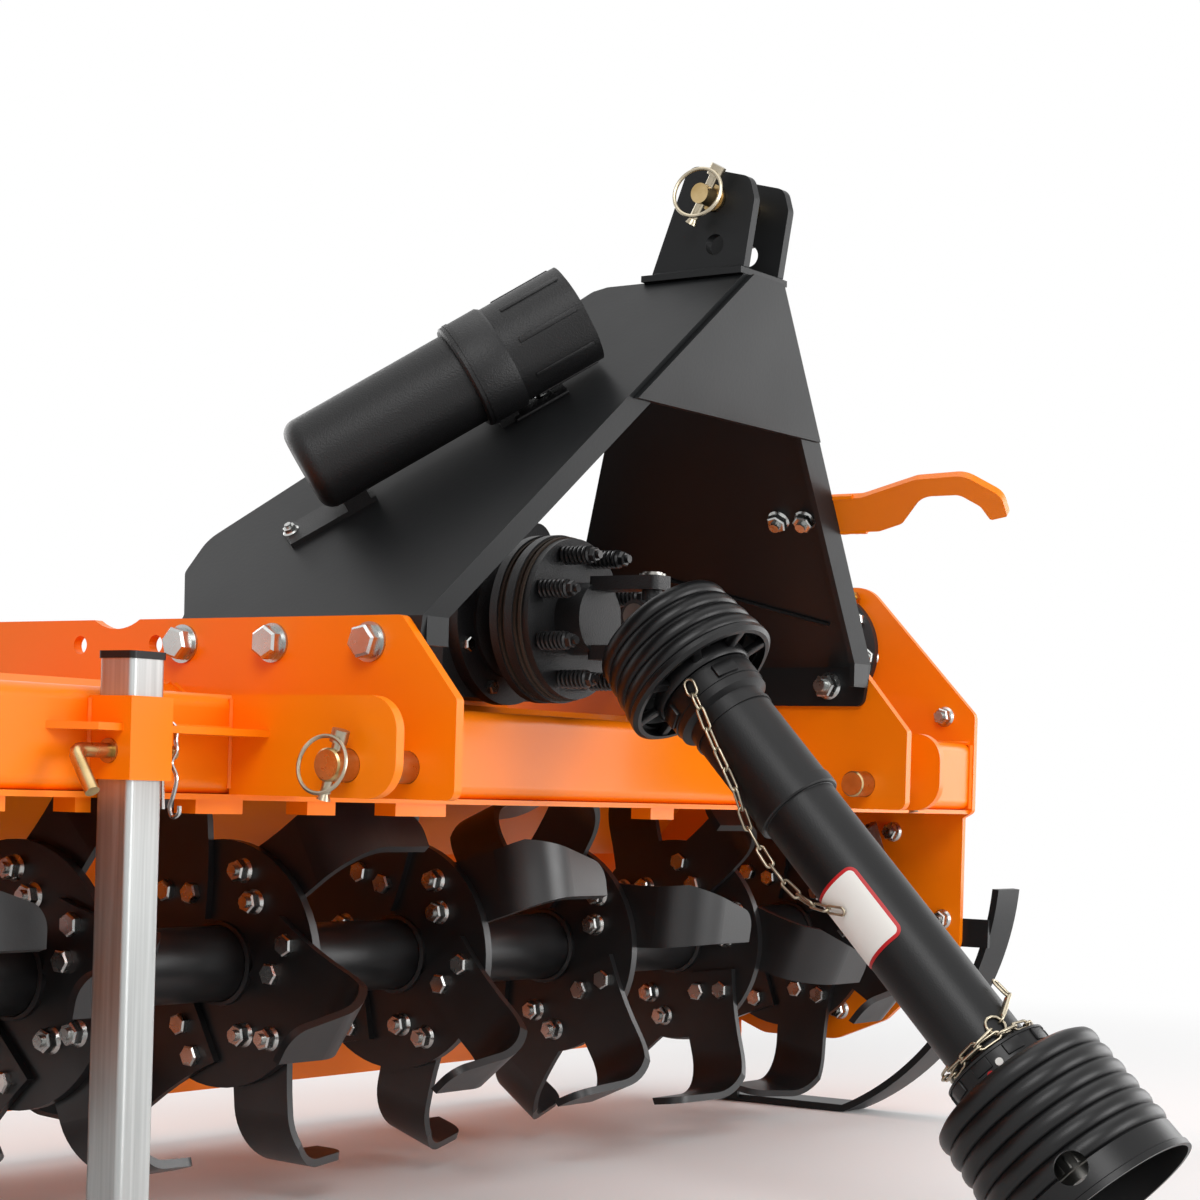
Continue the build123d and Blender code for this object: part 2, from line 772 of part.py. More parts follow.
def chain(spots, fittings):
    # Fittings are the (long, wide) of the loops at the start, before the plain links
    path = Spline(*[
        shaft_plane.from_local_coords((r * math.cos(math.radians(turn)), r * math.sin(math.radians(turn)), s))
        for s, turn, r in spots
    ])
    sizes = fittings + [(link_long, link_wide)] * 40
    links = []
    start = 0.0
    for index, (long, wide) in enumerate(sizes):
        end = start + long - 2 * link_wire + link_bite
        if end > path.length:
            break
        a = path.position_at(start / path.length)
        b = path.position_at(end / path.length)
        middle = (a + b) / 2
        reach = middle - shaft_plane.origin
        away = reach - shaft_plane.z_dir * reach.dot(shaft_plane.z_dir)
        across = (b - a).cross(away).normalized()
        upward = across.cross(b - a).normalized()
        place = Plane(origin=middle, x_dir=b - a, z_dir=across if index % 2 else upward)
        links.append(place.location * link(long, wide))
        start = end
    seat = turned([
        (0, 90), (48 + stub_fit, 90), (48 + stub_fit, cone_to + 34), (guard_sleeve_r + stub_fit, cone_to + 39),
        (guard_sleeve_r + stub_fit, guard_step + 1), (guard_r + stub_fit, guard_step + 4),
        (guard_r + stub_fit, bell_from - 6), (0, bell_from - 6),
    ])
    return links[0].fuse(*links[1:]) - seat


cone_chain = chain([
    (100, 167, 53), (128, 175, 52), (163, 190, 48), (208, 208, 47), (235, 240, 49), (283, 246, 54),
    (325, 240, 50), (352, 217, 43.2), (372, 190, 43.2),
], [(20, 13), (20, 13)])
bell_chain = chain([
    (500, 84, 45), (527, 88, 45), (543, 150, 45.2), (545, 175, 45.2), (540, 245, 45.2), (543, 330, 45.2),
    (547, 420, 45.2), (548, 500, 45.2), (548, 560, 45.2), (548, 630, 45.2),
], [(24, 13), (38, 9), (22, 22)])
keep("guard_chains", cone_chain, bell_chain)


# Document tube on the outer face of the right panel, laid out in that face's own plane
panel_lean = (rail_in - hood_top_half) / (hood_top_z - rail_top_z)
right_face = Plane(
    origin=(hitch_x - rail_in, 0, rail_top_z),
    x_dir=(0, -1, 0),
    z_dir=(-1, 0, panel_lean),
)
tube_frame = right_face.location * Pos(tube_start_y, tube_start_up, 0) * Rot(0, 0, tube_turn)


def along_tube(r, long_from, long_to):
    middle = (long_from + long_to) / 2
    return tube_frame * Pos(middle, 0, tube_off) * Rot(0, 90, 0) * Cylinder(r, long_to - long_from)


def document_tube():
    # Round bottomed tube on a lower tab, with a clamp band that stands on the panel below the cap
    body = along_tube(tube_r, 0, tube_ring_at)
    low_end = body.edges().filter_by(GeomType.CIRCLE).sort_by_distance(tube_frame.position)[0]
    body = fillet(low_end, tube_low_round)
    body += along_tube(tube_r + 4, tube_ring_at - 20, tube_ring_at)
    body += tube_frame * Pos(tube_ring_at - 10, 0, 10) * Box(20, tube_bracket_w, 20)
    body += tube_frame * Pos(30, 0, 10) * Box(24, tube_bracket_w, 20)
    body += tube_frame * Pos(2, 0, 2.5) * Box(90, tube_bracket_w, 5)
    return body + tube_frame * Pos(tube_ring_at - 10, tube_bracket_w / 2 + 12, 2.5) * Box(20, 44, 5)


keep("document_tube", document_tube())
keep("document_cap", along_tube(tube_r + 3, tube_ring_at, tube_long))


# Hook that holds the driveline when it is off the tractor, welded to the left panel's outer face
def shaft_hook():
    corners = [
        (-372, 232, 6), (-450, 232, 30), (-520, 252, 30), (-575, 254, 25), (-607, 226, 18),
        (-605, 200, 3), (-585, 196, 3), (-580, 214, 10), (-562, 230, 14), (-520, 230, 30),
        (-485, 196, 16), (-455, 187, 16), (-372, 187, 6),
    ]
    path = FilletPolyline(*[(y, up, 0) for y, up, r in corners], radius=[r for y, up, r in corners], close=True)
    left_face = Plane(
        origin=(hitch_x + rail_in, 0, rail_top_z),
        x_dir=(0, 1, 0),
        z_dir=(1, 0, panel_lean),
    )
    return left_face.location * extrude(make_face(path), amount=hook_t, dir=(0, 0, 1))


keep("shaft_hook", shaft_hook())


# Skids
def skid():
    path = Wire([
        ThreePointArc((-skid_reach, skid_top_z), (-205, 122), (-60, skid_t / 2)),
        Line((-60, skid_t / 2), (138, skid_t / 2)),
        ThreePointArc((138, skid_t / 2), (155, skid_t / 2 + 2), (171, skid_t / 2 + 8)),
    ])
    profile = Plane.YZ * trace(path, line_width=skid_t)
    bar_from = side_out + skid_strap
    bar = Pos(bar_from, 0, 0) * extrude(profile, amount=skid_w)
    bar += block(side_out, bar_from, 100, 142, skid_t / 2, 165)
    bar += block(side_out, bar_from, -268, -200, 228, 264)
    return bar


left_skid = skid()
keep("skid_left", left_skid)
keep("skid_right", mirrored_x(left_skid))


# Parking stand in its sleeve
def stand_sleeve():
    side = stand_side + 2 * stand_clear
    outer = side + 2 * sleeve_wall
    y = -beam_front - outer / 2
    sleeve = block(stand_x - outer / 2, stand_x + outer / 2, y - outer / 2, y + outer / 2, sleeve_low, sleeve_high)
    hole = block(stand_x - side / 2, stand_x + side / 2, y - side / 2, y + side / 2, sleeve_low - 1, sleeve_high + 1)
    gusset = prism_z([
        (stand_x, -beam_front), (right_clevis_x, -beam_front), (right_clevis_x, -beam_front - gusset_deep),
        (stand_x, -beam_front - gusset_deep + 6),
    ], gusset_z, gusset_z + gusset_t)
    wing = prism_z([
        (stand_x, -beam_front), (stand_x - 70, -beam_front), (stand_x - 50, -beam_front - gusset_deep + 6),
        (stand_x, -beam_front - gusset_deep + 6),
    ], gusset_z, gusset_z + gusset_t)
    return sleeve + gusset + wing - hole, y


sleeve, stand_y = stand_sleeve()
keep("stand_sleeve", sleeve)
stand_hole = stand_side - 2 * stand_wall
stand_tube = Pos(stand_x, stand_y, 0) * extrude(RectangleRounded(stand_side, stand_side, 5), amount=stand_top)
stand_tube -= Pos(stand_x, stand_y, 6) * extrude(RectangleRounded(stand_hole, stand_hole, 2), amount=stand_top)
keep("stand_tube", stand_tube)
cap_face = RectangleRounded(stand_side + 2, stand_side + 2, 5)
stand_cap = Pos(stand_x, stand_y, stand_top) * extrude(cap_face, amount=6)
keep("stand_cap", stand_cap)


# Rear gate with its hinge barrels and lugs
def gate():
    t = gate_t
    path = [(gate_hinge_y + 9, gate_hinge_z - 4), (300, 225), (338, 92), (338, gate_low)]
    back = [(y + t, z) for y, z in reversed(path)]
    panel = prism_x(path + back, -side_in + 8, side_in - 8)
    panel += bar_x(hinge_r, -side_in + 8, side_in - 8, gate_hinge_y, gate_hinge_z)
    for x in gate_rod_xs:
        lug = rounded_prism_x([
            (312, 195, 1), (gate_lug_y + 14, gate_lug_z + 14, 12),
            (gate_lug_y + 14, gate_lug_z - 14, 12), (328, 145, 1),
        ], x - 17, x - 10)
        panel += lug - bar_x(rod_pin_r + stub_fit, x - 18, x - 9, gate_lug_y, gate_lug_z)
    for x in gate_hinge_xs:
        panel -= Pos(x, gate_hinge_y, gate_hinge_z) * Rot(0, 90, 0) * (Cylinder(22, 20) - Cylinder(hinge_r, 22))
    return panel


def gate_hinges():
    lugs = []
    for x in gate_hinge_xs:
        ring = bar_x(17, x - 5, x + 5, gate_hinge_y, gate_hinge_z)
        low = (250, deck_rear_top(250))
        web = prism_x([(206, deck_rear_top(206)), low, (262, 336), (278, 362), (268, 367)], x - 5, x + 5)
        lug = ring + web
        lugs.append(lug - bar_x(hinge_r + hinge_fit, x - 6, x + 6, gate_hinge_y, gate_hinge_z))
    return lugs


rod_off = 16.0
gate_rod_xs = [right_rail_x - rod_off, left_rail_x + rail_t + rod_off]
gate_hinge_xs = [-780, -260, 260, 780]
keep("rear_gate", gate())
keep("gate_hinges", *gate_hinges())


def gate_rod(x):
    run_y = rod_guide_y - gate_lug_y
    run_z = rod_guide_z - gate_lug_z
    long = math.hypot(run_y, run_z)
    plane = Plane(origin=(x, gate_lug_y, gate_lug_z), x_dir=(1, 0, 0), z_dir=(0, run_y, run_z))
    rod = plane.location * Pos(0, 0, (long + 110) / 2) * Cylinder(rod_r, long + 110)
    rod += bar_x(11, x - 9, x + 9, gate_lug_y, gate_lug_z)
    return rod + bar_x(rod_pin_r, x - 20, x - 9, gate_lug_y, gate_lug_z)


keep("gate_rod_right", gate_rod(gate_rod_xs[0]))
keep("gate_rod_left", gate_rod(gate_rod_xs[1]))


def rod_guide(x, rail_face, side):
    far = x + side * 22
    low = min(rail_face, far)
    high = max(rail_face, far)
    plate = block(low, high, rod_guide_y - 30, rod_guide_y + 50, rod_guide_z - 14, rod_guide_z - 6)
    slot = block(x - rod_r - 3, x + rod_r + 3, rod_guide_y - 18, rod_guide_y + 38, rod_guide_z - 20, rod_guide_z)
    return plate - slot


keep("rod_guides", rod_guide(gate_rod_xs[0], right_rail_x, -1), rod_guide(gate_rod_xs[1], left_rail_x + rail_t, 1))

# Move the origin to the middle of the box at floor level and write one file for each piece
everything = Compound([solid for shapes in nodes.values() for shape in shapes for solid in shape.solids()])
box = everything.bounding_box()
home = Pos(-(box.min.X + box.max.X) / 2, -(box.min.Y + box.max.Y) / 2, -box.min.Z)
print("origin moved by", home.position)
os.makedirs("parts", exist_ok=True)
for name, shapes in nodes.items():
    solids = [solid for shape in shapes for solid in (home * shape).solids()]
    piece = solids[0] if len(solids) == 1 else Compound(solids)
    export_step(piece, "parts/" + name + ".step")
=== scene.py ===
import math
import random

import bmesh
import bpy
from mathutils import Matrix, Vector


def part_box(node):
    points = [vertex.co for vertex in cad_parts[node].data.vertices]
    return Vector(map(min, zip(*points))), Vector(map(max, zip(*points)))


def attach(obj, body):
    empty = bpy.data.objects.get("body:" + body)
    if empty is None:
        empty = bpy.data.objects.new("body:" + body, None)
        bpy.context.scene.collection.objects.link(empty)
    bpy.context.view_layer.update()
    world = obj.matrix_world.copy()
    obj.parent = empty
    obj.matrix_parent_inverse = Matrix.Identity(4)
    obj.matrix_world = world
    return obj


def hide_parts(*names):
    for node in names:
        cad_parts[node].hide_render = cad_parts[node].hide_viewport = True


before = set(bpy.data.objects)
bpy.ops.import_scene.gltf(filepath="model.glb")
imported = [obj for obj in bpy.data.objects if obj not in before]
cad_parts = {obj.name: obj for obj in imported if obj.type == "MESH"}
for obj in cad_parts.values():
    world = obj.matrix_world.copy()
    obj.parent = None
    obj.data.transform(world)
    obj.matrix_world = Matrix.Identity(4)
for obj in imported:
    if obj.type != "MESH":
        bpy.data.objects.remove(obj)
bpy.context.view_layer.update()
print("stage: frame loaded")

# Everything below is drawn in millimetres about the rotor's axis on the floor, then moved to the frame
beamLow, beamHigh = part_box("front_beam")
rotorLow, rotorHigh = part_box("rotor_shaft")
datum = Vector(((beamLow.x + beamHigh.x) / 2, (rotorLow.y + rotorHigh.y) / 2, 0))
toFrame = Matrix.Translation(datum) @ Matrix.Scale(0.001, 4)


# Camera and light

view = {
    "stands": (-2198, -1790, 416),  # mm
    "heading": 34.9,  # degrees from +X towards +Y
    "roll": 1.63,  # degrees, horizon down to the right
    "lens": 79.5,  # mm
    "shiftUp": 0.158,  # of the frame's width
}
lamps = {
    "key": {"at": (-2600, -2100, 2700), "size": 1.9, "watts": 57},
    "fill": {"at": (500, -3700, 1100), "size": 2.0, "watts": 58},
    "top": {"at": (0, -300, 3300), "size": 3.0, "watts": 26},
    "side": {"at": (3300, -1750, 900), "size": 2.6, "watts": 46},
    "back": {"at": (900, 2900, 1700), "size": 2.2, "watts": 34},
}
lampsAim = (0, -200, 450)  # mm
worldStrength = 0.35  # on the machine, and 1 where the camera or a reflection sees it
floorLook = {"colour": "#F6F6F6", "size": 14, "below": 0.001, "plainFrom": 1.5, "plainTo": 3.2}  # metres


def makeCamera():
    heading = math.radians(view["heading"])
    roll = math.radians(view["roll"])
    forward = Vector((math.cos(heading), math.sin(heading), 0))
    level = Vector((math.sin(heading), -math.cos(heading), 0))
    up = Vector((0, 0, 1))
    right = level * math.cos(roll) + up * math.sin(roll)
    over = up * math.cos(roll) - level * math.sin(roll)
    camera = bpy.data.objects.new("camera", bpy.data.cameras.new("camera"))
    bpy.context.scene.collection.objects.link(camera)
    turn = Matrix((right, over, -forward)).transposed().to_4x4()
    camera.matrix_world = Matrix.Translation(toFrame @ Vector(view["stands"])) @ turn
    camera.data.lens = view["lens"]
    camera.data.shift_y = view["shiftUp"]
    bpy.context.scene.camera = camera


def makeLamps():
    aim = toFrame @ Vector(lampsAim)
    for name, lamp in lamps.items():
        light = bpy.data.lights.new(name, "AREA")
        light.shape = "DISK"
        light.size = lamp["size"]
        light.energy = lamp["watts"]
        holder = bpy.data.objects.new(name, light)
        bpy.context.scene.collection.objects.link(holder)
        stands = toFrame @ Vector(lamp["at"])
        turn = (aim - stands).to_track_quat("-Z", "Y").to_matrix().to_4x4()
        holder.matrix_world = Matrix.Translation(stands) @ turn


def addNode(tree, kind, settings=None, links=None):
    node = tree.nodes.new(kind)
    for key, value in (settings or {}).items():
        if isinstance(key, str) and hasattr(node, key):
            setattr(node, key, value)
        else:
            node.inputs[key].default_value = value
    for key, source in (links or {}).items():
        tree.links.new(source, node.inputs[key])
    return node


def seenRays(tree):
    # 1 for what the camera, a reflection or a pane sees directly
    rays = addNode(tree, "ShaderNodeLightPath")
    through = addNode(tree, "ShaderNodeMath", {"operation": "MAXIMUM"},
                      {0: rays.outputs["Is Camera Ray"], 1: rays.outputs["Is Transmission Ray"]})
    either = addNode(tree, "ShaderNodeMath", {"operation": "MAXIMUM"},
                     {0: through.outputs[0], 1: rays.outputs["Is Glossy Ray"]})
    return either.outputs[0]


def makeWorld():
    world = bpy.data.worlds.new("studio")
    bpy.context.scene.world = world
    world.use_nodes = True
    tree = world.node_tree
    tree.nodes.clear()
    strength = addNode(tree, "ShaderNodeMapRange", {"To Min": worldStrength, "To Max": 1.0},
                       {"Value": seenRays(tree)})
    glow = addNode(tree, "ShaderNodeBackground", {"Color": (1, 1, 1, 1)}, {"Strength": strength.outputs[0]})
    addNode(tree, "ShaderNodeOutputWorld", None, {"Surface": glow.outputs[0]})


makeCamera()
makeLamps()
makeWorld()
bpy.context.scene.view_settings.view_transform = "Standard"
print("stage: camera and light")


# Materials

def linear(code):
    parts = [int(code[i:i + 2], 16) / 255 for i in (1, 3, 5)]
    return [c / 12.92 if c <= 0.04045 else ((c + 0.055) / 1.055) ** 2.4 for c in parts] + [1]


def newMaterial(name, **settings):
    material = bpy.data.materials.new(name)
    material.use_nodes = True
    tree = material.node_tree
    tree.nodes.clear()
    shader = addNode(tree, "ShaderNodeBsdfPrincipled", settings)
    addNode(tree, "ShaderNodeOutputMaterial", None, {"Surface": shader.outputs[0]})
    place = addNode(tree, "ShaderNodeTexCoord")
    return material, (tree, shader, place.outputs["Object"])


def ramped(tree, shader, source, low, high):
    # Colour that goes from low to high with a noise
    ramp = addNode(tree, "ShaderNodeValToRGB", None, {"Fac": source})
    for element, position, code in zip(ramp.color_ramp.elements, (0.3, 0.7), (low, high)):
        element.position = position
        element.color = linear(code)
    tree.links.new(ramp.outputs["Color"], shader.inputs["Base Color"])


def roughened(tree, shader, source, low, high):
    # Roughness that goes from low to high with a noise
    spread = addNode(tree, "ShaderNodeMapRange", {"To Min": low, "To Max": high}, {"Value": source})
    tree.links.new(spread.outputs[0], shader.inputs["Roughness"])


def mottled(base, low, high, scale):
    # Slow drift of colour over the surface
    tree, shader, where = base
    noise = addNode(tree, "ShaderNodeTexNoise", {"Scale": scale, "Detail": 4}, {"Vector": where})
    ramped(tree, shader, noise.outputs["Fac"], low, high)


def uneven(base, scale, low, high):
    # Roughness that changes from place to place
    tree, shader, where = base
    noise = addNode(tree, "ShaderNodeTexNoise", {"Scale": scale, "Detail": 3}, {"Vector": where})
    roughened(tree, shader, noise.outputs["Fac"], low, high)


def grained(base, scale, strength, distance):
    # Fine relief as bump
    tree, shader, where = base
    grain = addNode(tree, "ShaderNodeTexNoise", {"Scale": scale}, {"Vector": where})
    bump = addNode(tree, "ShaderNodeBump", {"Strength": strength, "Distance": distance},
                   {"Height": grain.outputs["Fac"]})
    tree.links.new(bump.outputs[0], shader.inputs["Normal"])


def orangeEnamel():
    # Stoving enamel on steel plate: even strong orange, soft gloss, faint orange peel about 4 mm across
    gloss = {"Coat Weight": 0.1, "Coat Roughness": 0.12, "Specular IOR Level": 0.32}
    material, base = newMaterial("stovingEnamel", **gloss)
    mottled(base, "#F97900", "#FF8400", 3.0)
    uneven(base, 9.0, 0.30, 0.42)
    grained(base, 240.0, 0.10, 0.0006)
    return material


def greyEnamel():
    # Dark grey enamel on the headstock and skids: satin, with a slight sprayed texture
    gloss = {"Coat Weight": 0.02, "Coat Roughness": 0.25, "Specular IOR Level": 0.2}
    material, base = newMaterial("satinGreyEnamel", **gloss)
    mottled(base, "#161718", "#1B1C1D", 4.0)
    uneven(base, 12.0, 0.36, 0.48)
    grained(base, 260.0, 0.12, 0.0006)
    return material


def bladePaint():
    # Thin black paint on forged spring steel: half gloss with duller rubbed patches
    material, base = newMaterial("blackBladePaint", **{"Specular IOR Level": 0.6})
    mottled(base, "#141415", "#1E1E1F", 14.0)
    uneven(base, 22.0, 0.28, 0.46)
    grained(base, 420.0, 0.12, 0.0005)
    return material


def castPaint():
    # Black paint on cast iron: dull, with the sand's grain of about 2 mm
    material, base = newMaterial("paintedCasting", Roughness=0.5)
    mottled(base, "#151516", "#1F2022", 10.0)
    grained(base, 520.0, 0.45, 0.0012)
    return material


def moulded(name, low, high, rough, scale, strength):
    # Plastic, vinyl or clutch lining: one even colour, with a fine grain that breaks up the shine
    settings = {"Roughness": rough, "Specular IOR Level": 0.32}
    material, base = newMaterial(name, **settings)
    mottled(base, low, high, 8.0)
    grained(base, scale, strength, 0.0008)
    return material


def plated(name, low, high, rough):
    # Plated or turned metal: bright, its haze changing over about 15 mm
    material, base = newMaterial(name, Metallic=1.0)
    mottled(base, low, high, 40.0)
    uneven(base, 60.0, rough - 0.06, rough + 0.08)
    return material


def galvanised():
    # Galvanised box tube: pale even grey with long draw marks down its length
    material, (tree, shader, where) = newMaterial("galvanisedTube", Metallic=1.0)
    stretch = addNode(tree, "ShaderNodeMapping", {"Scale": (70, 70, 1.2)}, {"Vector": where})
    streaks = addNode(tree, "ShaderNodeTexNoise", {"Scale": 4.0, "Detail": 5}, {"Vector": stretch.outputs[0]})
    ramped(tree, shader, streaks.outputs["Fac"], "#A4A6A5", "#BBBDBC")
    roughened(tree, shader, streaks.outputs["Fac"], 0.36, 0.52)
    return material


finishes = {
    "orange": orangeEnamel(),
    "grey": greyEnamel(),
    "blade": bladePaint(),
    "cast": castPaint(),
    "guard": moulded("guardPolythene", "#09090A", "#0F0F10", 0.40, 700.0, 0.15),
    "bellows": moulded("bellowsPlastic", "#09090A", "#0F0F10", 0.36, 900.0, 0.10),
    "tube": moulded("grainedPlastic", "#0C0C0D", "#131314", 0.45, 650.0, 0.55),
    "label": moulded("printedVinyl", "#E8E6E1", "#EDEBE6", 0.35, 300.0, 0.02),
    "redEdge": moulded("redVinyl", "#B3161B", "#BE1B20", 0.35, 300.0, 0.02),
    "lining": moulded("clutchLining", "#3A3029", "#453A31", 0.80, 500.0, 0.40),
    "zinc": plated("zincPlate", "#B4B6B5", "#C8C9C6", 0.26),
    "steel": plated("machinedSteel", "#8C8B88", "#A6A39D", 0.30),
    "chain": plated("zincChain", "#9C9280", "#B8AE98", 0.30),
    "gold": plated("yellowZinc", "#A88C5A", "#C9B184", 0.28),
    "brass": plated("brass", "#B08D45", "#C9A55A", 0.25),
    "galvanised": galvanised(),
}
finishNodes = {
    "orange": ("side_plate_left", "side_plate_right", "deck", "front_beam", "hitch_rail_left",
               "hitch_rail_right", "clevis_plate_left", "clevis_plate_right", "shaft_hook", "stand_sleeve",
               "rear_gate", "gate_hinges", "rod_guides", "gear_case", "gearbox_plate"),
    "grey": ("hood_side_left", "hood_side_right", "hood_cover", "top_ears", "top_plate", "skid_left",
             "skid_right"),
    "blade": ("rotor_shaft", "tines_left_hand", "tines_right_hand", "clutch_springs"),
    "cast": ("gearbox", "cross_housing", "rotor_bearing", "input_yoke", "shaft_yoke", "clutch_pack"),
    "steel": ("end_yoke",),
    "guard": ("guard_tube", "stand_cap"),
    "bellows": ("guard_cone", "guard_bell"),
    "chain": ("guard_chains",),
    "tube": ("document_tube", "document_cap"),
    "gold": ("lower_pin_left", "lower_pin_right", "upper_pin"),
    "zinc": ("gate_rod_left", "gate_rod_right"),
    "galvanised": ("stand_tube",),
}
nodeFinish = {name: finish for finish, names in finishNodes.items() for name in names}
for name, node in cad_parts.items():
    node.data.materials.clear()
    node.data.materials.append(finishes[nodeFinish[name]])
print("stage: materials")


# Small tools for the pieces

random.seed(17)  # the weld beads come out the same each run


def aimed(at, axis, turn=0.0):
    # Matrix whose Z runs along axis from the point
    z = Vector(axis).normalized()
    side = Vector((1, 0, 0)) if abs(z.x) < 0.9 else Vector((0, 0, 1))
    y = z.cross(side).normalized()
    x = y.cross(z)
    turned = Matrix((x, y, z)).transposed().to_4x4() @ Matrix.Rotation(math.radians(turn), 4, "Z")
    return Matrix.Translation(Vector(at)) @ turned


def addShape(bm, shape, matrix=None):
    # Joins a finished shape to the piece, moved as a whole
    if matrix is not None:
        bmesh.ops.transform(shape, matrix=matrix, verts=shape.verts)
    mesh = bpy.data.meshes.new("shape")
    shape.to_mesh(mesh)
    shape.free()
    bm.from_mesh(mesh)
    bpy.data.meshes.remove(mesh)


def rod(bm, r, low, high, matrix, segments, tipR=None):
    centre = matrix @ Matrix.Translation((0, 0, (low + high) / 2))
    bmesh.ops.create_cone(bm, cap_ends=True, segments=segments, radius1=r,
                          radius2=r if tipR is None else tipR, depth=high - low, matrix=centre)


def slab(bm, low, high, bevel, matrix):
    # Box between two corners, its edges rounded over
    shape = bmesh.new()
    size = [b - a for a, b in zip(low, high)]
    middle = [(a + b) / 2 for a, b in zip(low, high)]
    bmesh.ops.create_cube(shape, size=1, matrix=Matrix.Translation(middle) @ Matrix.Diagonal((*size, 1)))
    bmesh.ops.bevel(shape, geom=shape.edges[:], offset=bevel, affect="EDGES", segments=2, profile=0.5,
                    material=-1)
    addShape(bm, shape, matrix)


def lathe(bm, outline, matrix, steps):
    # Closed outline of (radius, height) spun about the matrix's Z
    shape = bmesh.new()
    made = [shape.verts.new((r, 0, h)) for r, h in outline]
    edges = [shape.edges.new(pair) for pair in zip(made, made[1:] + made[:1])]
    bmesh.ops.spin(shape, geom=made + edges, cent=(0, 0, 0), axis=(0, 0, 1), angle=math.tau, steps=steps,
                   use_merge=True)
    bmesh.ops.remove_doubles(shape, verts=shape.verts, dist=0.001)
    addShape(bm, shape, matrix)


def ringBar(bm, wireR, ringR, matrix, steps, sides, angle=math.tau, rise=0.0):
    # A wire bent round a circle, rising if it is a coil
    shape = bmesh.new()
    seat = Matrix.Translation((ringR, 0, 0)) @ Matrix.Rotation(math.pi / 2, 4, "X")
    circle = bmesh.ops.create_circle(shape, segments=sides, radius=wireR, matrix=seat)
    edges = list({edge for vert in circle["verts"] for edge in vert.link_edges})
    full = rise == 0
    made = bmesh.ops.spin(shape, geom=circle["verts"] + edges, cent=(0, 0, 0), axis=(0, 0, 1), angle=angle,
                          steps=steps, dvec=(0, 0, rise / steps), use_merge=full)
    if not full:
        last = [g for g in made["geom_last"] if isinstance(g, bmesh.types.BMEdge)]
        bmesh.ops.contextual_create(shape, geom=last)
        bmesh.ops.contextual_create(shape, geom=edges)
    addShape(bm, shape, matrix)


def bentWire(bm, r, points, sides, closed=False, ripple=0.0):
    # Round bar through the points, its section carried along without twisting
    shape = bmesh.new()
    spots = [Vector(point) for point in points]
    count = len(spots)
    side = Vector((0.31, 0.27, 0.91))  # squared to the wire at each spot
    rings = []
    for index, spot in enumerate(spots):
        after = spots[(index + 1) % count] if closed else spots[min(index + 1, count - 1)]
        before = spots[index - 1] if closed or index else spot
        ahead = (after - before).normalized()
        side = (side - ahead * side.dot(ahead)).normalized()
        turn = Matrix((side, ahead.cross(side), ahead)).transposed().to_4x4()
        place = Matrix.Translation(spot) @ turn
        thick = r * (1 + ripple * random.uniform(-1, 1))
        made = bmesh.ops.create_circle(shape, segments=sides, radius=thick, matrix=place)
        rings.append(made["verts"])
    following = rings[1:] + rings[:1] if closed else rings[1:]
    for one, two in zip(rings, following):
        for k in range(sides):
            shape.faces.new((one[k - 1], one[k], two[k], two[k - 1]))
    if not closed:
        shape.faces.new(rings[0])
        shape.faces.new(rings[-1])
    addShape(bm, shape)


def weld(bm, start, end, r, step=4.0):
    # Rippled bead between two points
    start, end = Vector(start), Vector(end)
    count = max(3, int((end - start).length / step))
    bentWire(bm, r, [start.lerp(end, k / count) for k in range(count + 1)], 6, ripple=0.16)


# Shares of a nut's or head's height and width, apart from the washer's height in mm
nutShape = {"flangeHigh": 0.22, "flangeTop": 0.82, "chamferFrom": 0.86, "chamferTop": 0.86, "studR": 0.29}
headShape = {"washerHigh": 2.5, "faceR": 0.56, "chamferFrom": 0.8, "chamferTop": 0.84}


def hexNut(bm, at, axis, across, high, turn, flange=0.0, stud=0.0):
    matrix = aimed(at, axis, turn)
    r = across / math.sqrt(3)
    base = high * nutShape["flangeHigh"] if flange else 0.0
    shoulder = high * nutShape["chamferFrom"]
    if flange:
        rod(bm, flange, 0, base, matrix, 24, flange * nutShape["flangeTop"])
    rod(bm, r, base, shoulder, matrix, 6)
    rod(bm, r, shoulder, high, matrix, 6, r * nutShape["chamferTop"])
    if stud:
        rod(bm, across * nutShape["studR"], high, high + stud, matrix, 14)


def hexBolt(bm, at, axis, across, high, turn, washerR=0.0):
    matrix = aimed(at, axis, turn)
    r = across / math.sqrt(3)
    washerHigh = headShape["washerHigh"]
    base = washerHigh * 2 if washerR else 0.0
    shoulder = base + high * headShape["chamferFrom"]
    if washerR:
        rod(bm, washerR, 0, washerHigh, matrix, 32)
        rod(bm, across * headShape["faceR"], washerHigh, base, matrix, 28)
    rod(bm, r, base, shoulder, matrix, 6)
    rod(bm, r, shoulder, base + high, matrix, 6, r * headShape["chamferTop"])


def finishPiece(bm, name, finish, body, smooth=35):
    bmesh.ops.transform(bm, matrix=toFrame, verts=bm.verts)
    bmesh.ops.recalc_face_normals(bm, faces=bm.faces)
    mesh = bpy.data.meshes.new(name)
    bm.to_mesh(mesh)
    bm.free()
    mesh.shade_smooth()
    mesh.set_sharp_from_angle(angle=math.radians(smooth))
    mesh.materials.append(finishes[finish])
    piece = bpy.data.objects.new(name, mesh)
    bpy.context.scene.collection.objects.link(piece)
    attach(piece, body)
    print("made", name, len(mesh.polygons))
    return piece


# Fasteners on the hitch rails and headstock

